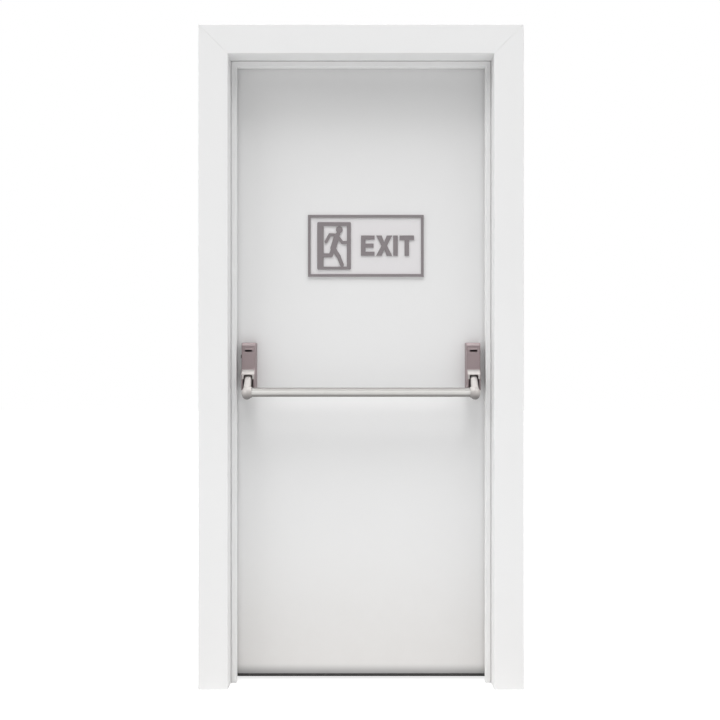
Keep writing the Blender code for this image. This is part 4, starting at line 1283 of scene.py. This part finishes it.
class DOOR_OT_bar(bpy.types.Operator):
    """Make the push bar: a satin tube between two cast arms"""

    bl_idname = "door.bar"
    bl_label = "Push bar"

    smoothing: IntProperty(name="Smoothing", description="Passes that round the inner corners", default=9)

    def execute(self, context):
        self.half_tube = (TUBE_HIGH.x - TUBE_LOW.x) / 2
        for side, way in SIDES:
            arm = self.arm(side, way)
            make_piece(f"arm_{side}_casting", arm, "push_bar", "arm_paint", [f"arm_{side}"])
        make_piece("push_tube_satin", self.tube(), "push_bar", "satin_tube", ["push_tube"])
        return {"FINISHED"}

    def tube(self):
        """The push tube with its wall and chamfered ends."""
        inner, end = TUBE_RADIUS - TUBE_WALL, -self.half_tube
        mouth = [
            (inner, end + TUBE_CHAMFER),
            (inner + TUBE_CHAMFER, end),
            (TUBE_RADIUS - TUBE_CHAMFER, end),
            (TUBE_RADIUS, end + TUBE_CHAMFER),
        ]
        far_mouth = [(radius, -along) for radius, along in reversed(mouth)]
        return moved(lathe(mouth + far_mouth + mouth[:1], TUBE_STEPS), TUBE_AXIS, (1, 0, 0))

    def arm(self, side, way):
        """A blade from the pivot to the tube's end, with a hub, a knuckle and a collar cast on."""
        low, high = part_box(f"panic_cover_{side}")
        hub_x = (low.x + high.x) / 2
        hub_place = (hub_x, PIVOT.y, PIVOT.z)
        elbow = Vector((hub_x, TUBE_AXIS.y, TUBE_AXIS.z))
        hub = moved(self.rod(HUB_RADIUS, ARM_WIDTH), hub_place, (1, 0, 0))
        knuckle = bmesh.new()
        steps = SMALL_STEPS // 2
        bmesh.ops.create_uvsphere(knuckle, u_segments=2 * steps, v_segments=steps, radius=KNUCKLE_RADIUS)
        bmesh.ops.scale(knuckle, vec=(KNUCKLE_NARROWING, 1, 1), verts=knuckle.verts)
        moved(knuckle, elbow + Vector((0, KNUCKLE_BACK, -KNUCKLE_SAG)))
        collar = self.rod(TUBE_RADIUS + SEAT + SOCKET_WALL, SOCKET_LENGTH)
        moved(collar, elbow - Vector((way * SOCKET_LENGTH / 2, 0, 0)), (1, 0, 0))
        solid = shaped(
            joined(self.blade(hub_x), hub, knuckle, collar),
            ("REMESH", {"mode": "VOXEL", "voxel_size": ARM_VOXEL}),
            ("SMOOTH", {"factor": 0.5, "iterations": self.smoothing}),
        )
        bore = moved(self.rod(PIN_RADIUS, 2 * ARM_WIDTH, 0), hub_place, (1, 0, 0))
        socket_x = TUBE_AXIS.x + way * (self.half_tube + SEAT - SOCKET_LENGTH)
        socket = self.rod(TUBE_RADIUS + SEAT, 2 * SOCKET_LENGTH, 0)
        moved(socket, (socket_x, TUBE_AXIS.y, TUBE_AXIS.z), (1, 0, 0))
        return cut(solid, bore, socket)

    def rod(self, radius, length, edge=ROD_EDGE):
        """A cylinder about its middle, with round edges unless the edge is 0."""
        half = length / 2
        if not edge:
            return lathe([(0, -half), (radius, -half), (radius, half), (0, half)])
        rim = [(radius - edge + edge * sine, -half + edge * (1 - cosine)) for cosine, sine in quarter()]
        other = [(radius - edge + edge * cosine, half - edge + edge * sine) for cosine, sine in quarter()]
        return lathe([(0, -half)] + rim + other + [(0, half)])

    def blade(self, x):
        """The arm between hub and elbow: a flat oval that widens downwards, slightly bowed."""
        hub = Vector((PIVOT.y, PIVOT.z))
        elbow = Vector((TUBE_AXIS.y, TUBE_AXIS.z))
        along = (elbow - hub).normalized()
        outward = Vector((along.y, -along.x))
        if outward.x > 0:
            outward = -outward
        rings = []
        for row in range(BLADE_RINGS + 1):
            share = row / BLADE_RINGS
            centre = hub.lerp(elbow, share) + outward * ARM_BOW * math.sin(math.pi * share)
            size = 1 + share * (ARM_FLARE - 1)
            half_wide, half_thick = ARM_WIDTH / 2 * size, ARM_THICKNESS / 2 * size
            ring = []
            for cosine, sine in circle(SMALL_STEPS):
                point = centre + outward * (self.squared(sine) * half_thick)
                ring.append((x + self.squared(cosine) * half_wide, point.x, point.y))
            rings.append(ring)
        return loft(rings)

    def squared(self, value):
        """Pushes a sine or cosine outwards, so that an ellipse becomes a rounder rectangle."""
        return math.copysign(abs(value) ** ARM_SQUARENESS, value)


class DOOR_OT_stage(bpy.types.Operator):
    """Make the floor, the lamps, the sky and the camera"""

    bl_idname = "door.stage"
    bl_label = "Stage"

    def execute(self, context):
        stage = context.scene.door_stage
        context.scene.view_settings.view_transform = "Standard"
        self.make_floor(stage)
        self.make_sky(context.scene, stage)
        for name in ("key_light", "high_light", "left_light", "right_light"):
            self.make_lamp(name, *getattr(stage, name))
        self.make_camera(context.scene, stage)
        return {"FINISHED"}

    def seen(self, nodes):
        """1 for rays from the camera, and for what metal and glass show."""
        path = nodes.add("ShaderNodeLightPath")
        rays = [Level(nodes, path.outputs[f"Is {kind} Ray"]) for kind in ("Camera", "Glossy", "Transmission")]
        return rays[0] + rays[1] + rays[2]

    def make_floor(self, stage):
        """A pale floor that the camera sees as nearly white, with the door's shadow on it."""
        form = bmesh.new()
        size = stage.floor_size / 2
        bmesh.ops.create_grid(form, x_segments=FLOOR_STEPS, y_segments=FLOOR_STEPS, size=size)
        floor = new_object("floor", form)
        floor.location = (TUBE_AXIS.x, 0, 0)
        form.free()
        material = bpy.data.materials.new("pale_floor")
        material.use_nodes = True
        nodes = Nodes(material.node_tree)
        matte = nodes.add("ShaderNodeBsdfDiffuse", None, {"Color": FLOOR_COLOUR}).outputs[0]
        glow = nodes.add("ShaderNodeEmission", None, {"Strength": stage.floor_glow}).outputs[0]
        white = nodes.add("ShaderNodeMixShader", None, {0: FLOOR_GLOW_SHARE, 1: matte, 2: glow}).outputs[0]
        mixed = nodes.add("ShaderNodeMixShader", None, {0: self.seen(nodes), 1: matte, 2: white}).outputs[0]
        nodes.add("ShaderNodeOutputMaterial", None, {"Surface": mixed})
        floor.data.materials.append(material)

    def make_sky(self, scene, stage):
        """A weak light from all around, which the camera sees as white."""
        world = bpy.data.worlds.new("soft_sky")
        world.use_nodes = True
        nodes = Nodes(world.node_tree)
        dim = nodes.add("ShaderNodeBackground", None, {"Color": WHITE, "Strength": stage.sky}).outputs[0]
        white = nodes.add("ShaderNodeBackground", None, {"Color": WHITE, "Strength": 1.0}).outputs[0]
        mixed = nodes.add("ShaderNodeMixShader", None, {0: self.seen(nodes), 1: dim, 2: white}).outputs[0]
        nodes.add("ShaderNodeOutputWorld", None, {"Surface": mixed})
        scene.world = world

    def make_lamp(self, name, strength, width, elevation, turn_left):
        """A far, wide light that comes from a height and from the left of straight ahead, in degrees."""
        data = bpy.data.lights.new(name, "SUN")
        data.energy = strength
        data.angle = math.radians(width)
        turn = Matrix.Rotation(math.radians(-turn_left), 4, "Z")
        tilt = Matrix.Rotation(math.radians(90 - elevation), 4, "X")
        new_object(name, data).matrix_world = Matrix.Translation(LEAF_HIGH) @ turn @ tilt

    def make_camera(self, scene, stage):
        """A camera straight in front of the door, with a shifted lens."""
        data = bpy.data.cameras.new("camera")
        data.lens = stage.lens
        data.shift_x = stage.shift_right / stage.picture_width
        data.shift_y = stage.shift_up / stage.picture_width
        camera = new_object("camera", data)
        camera.location = (TUBE_AXIS.x, CAD_BOX[0].y - stage.eye_distance, stage.eye_height)
        camera.rotation_euler = (math.pi / 2, 0, 0)
        scene.camera = camera


class DOOR_PT_panel(bpy.types.Panel):
    """Lists the steps and the settings"""

    bl_idname = "DOOR_PT_panel"
    bl_label = "Fire Door"
    bl_space_type = "VIEW_3D"
    bl_region_type = "UI"
    bl_category = "Fire Door"

    def draw(self, context):
        for step in STEPS:
            self.layout.operator(step.bl_idname)
        for group in (context.scene.door_finish, context.scene.door_sign, context.scene.door_stage):
            box = self.layout.box()
            for name in group.bl_rna.properties.keys():
                if name not in ("rna_type", "name"):
                    box.prop(group, name)


GROUPS = {"door_finish": FinishSettings, "door_sign": SignSettings, "door_stage": StageSettings}
STEPS = (
    DOOR_OT_finishes,
    DOOR_OT_seals,
    DOOR_OT_hinges,
    DOOR_OT_lock,
    DOOR_OT_fixings,
    DOOR_OT_sign,
    DOOR_OT_housings,
    DOOR_OT_bar,
    DOOR_OT_stage,
)


def register():
    """Adds the classes and the settings to Blender."""
    for item in (*GROUPS.values(), *STEPS, DOOR_PT_panel):
        bpy.utils.register_class(item)
    for name, group in GROUPS.items():
        setattr(bpy.types.Scene, name, PointerProperty(type=group))


def unregister():
    """Takes the settings and the classes out of Blender again."""
    for name in GROUPS:
        delattr(bpy.types.Scene, name)
    for item in (DOOR_PT_panel, *reversed(STEPS), *GROUPS.values()):
        bpy.utils.unregister_class(item)


def main():
    register()
    for step in STEPS:
        module, name = step.bl_idname.split(".")
        getattr(getattr(bpy.ops, module), name)()
    bpy.context.view_layer.update()


if __name__ == "__main__":
    main()
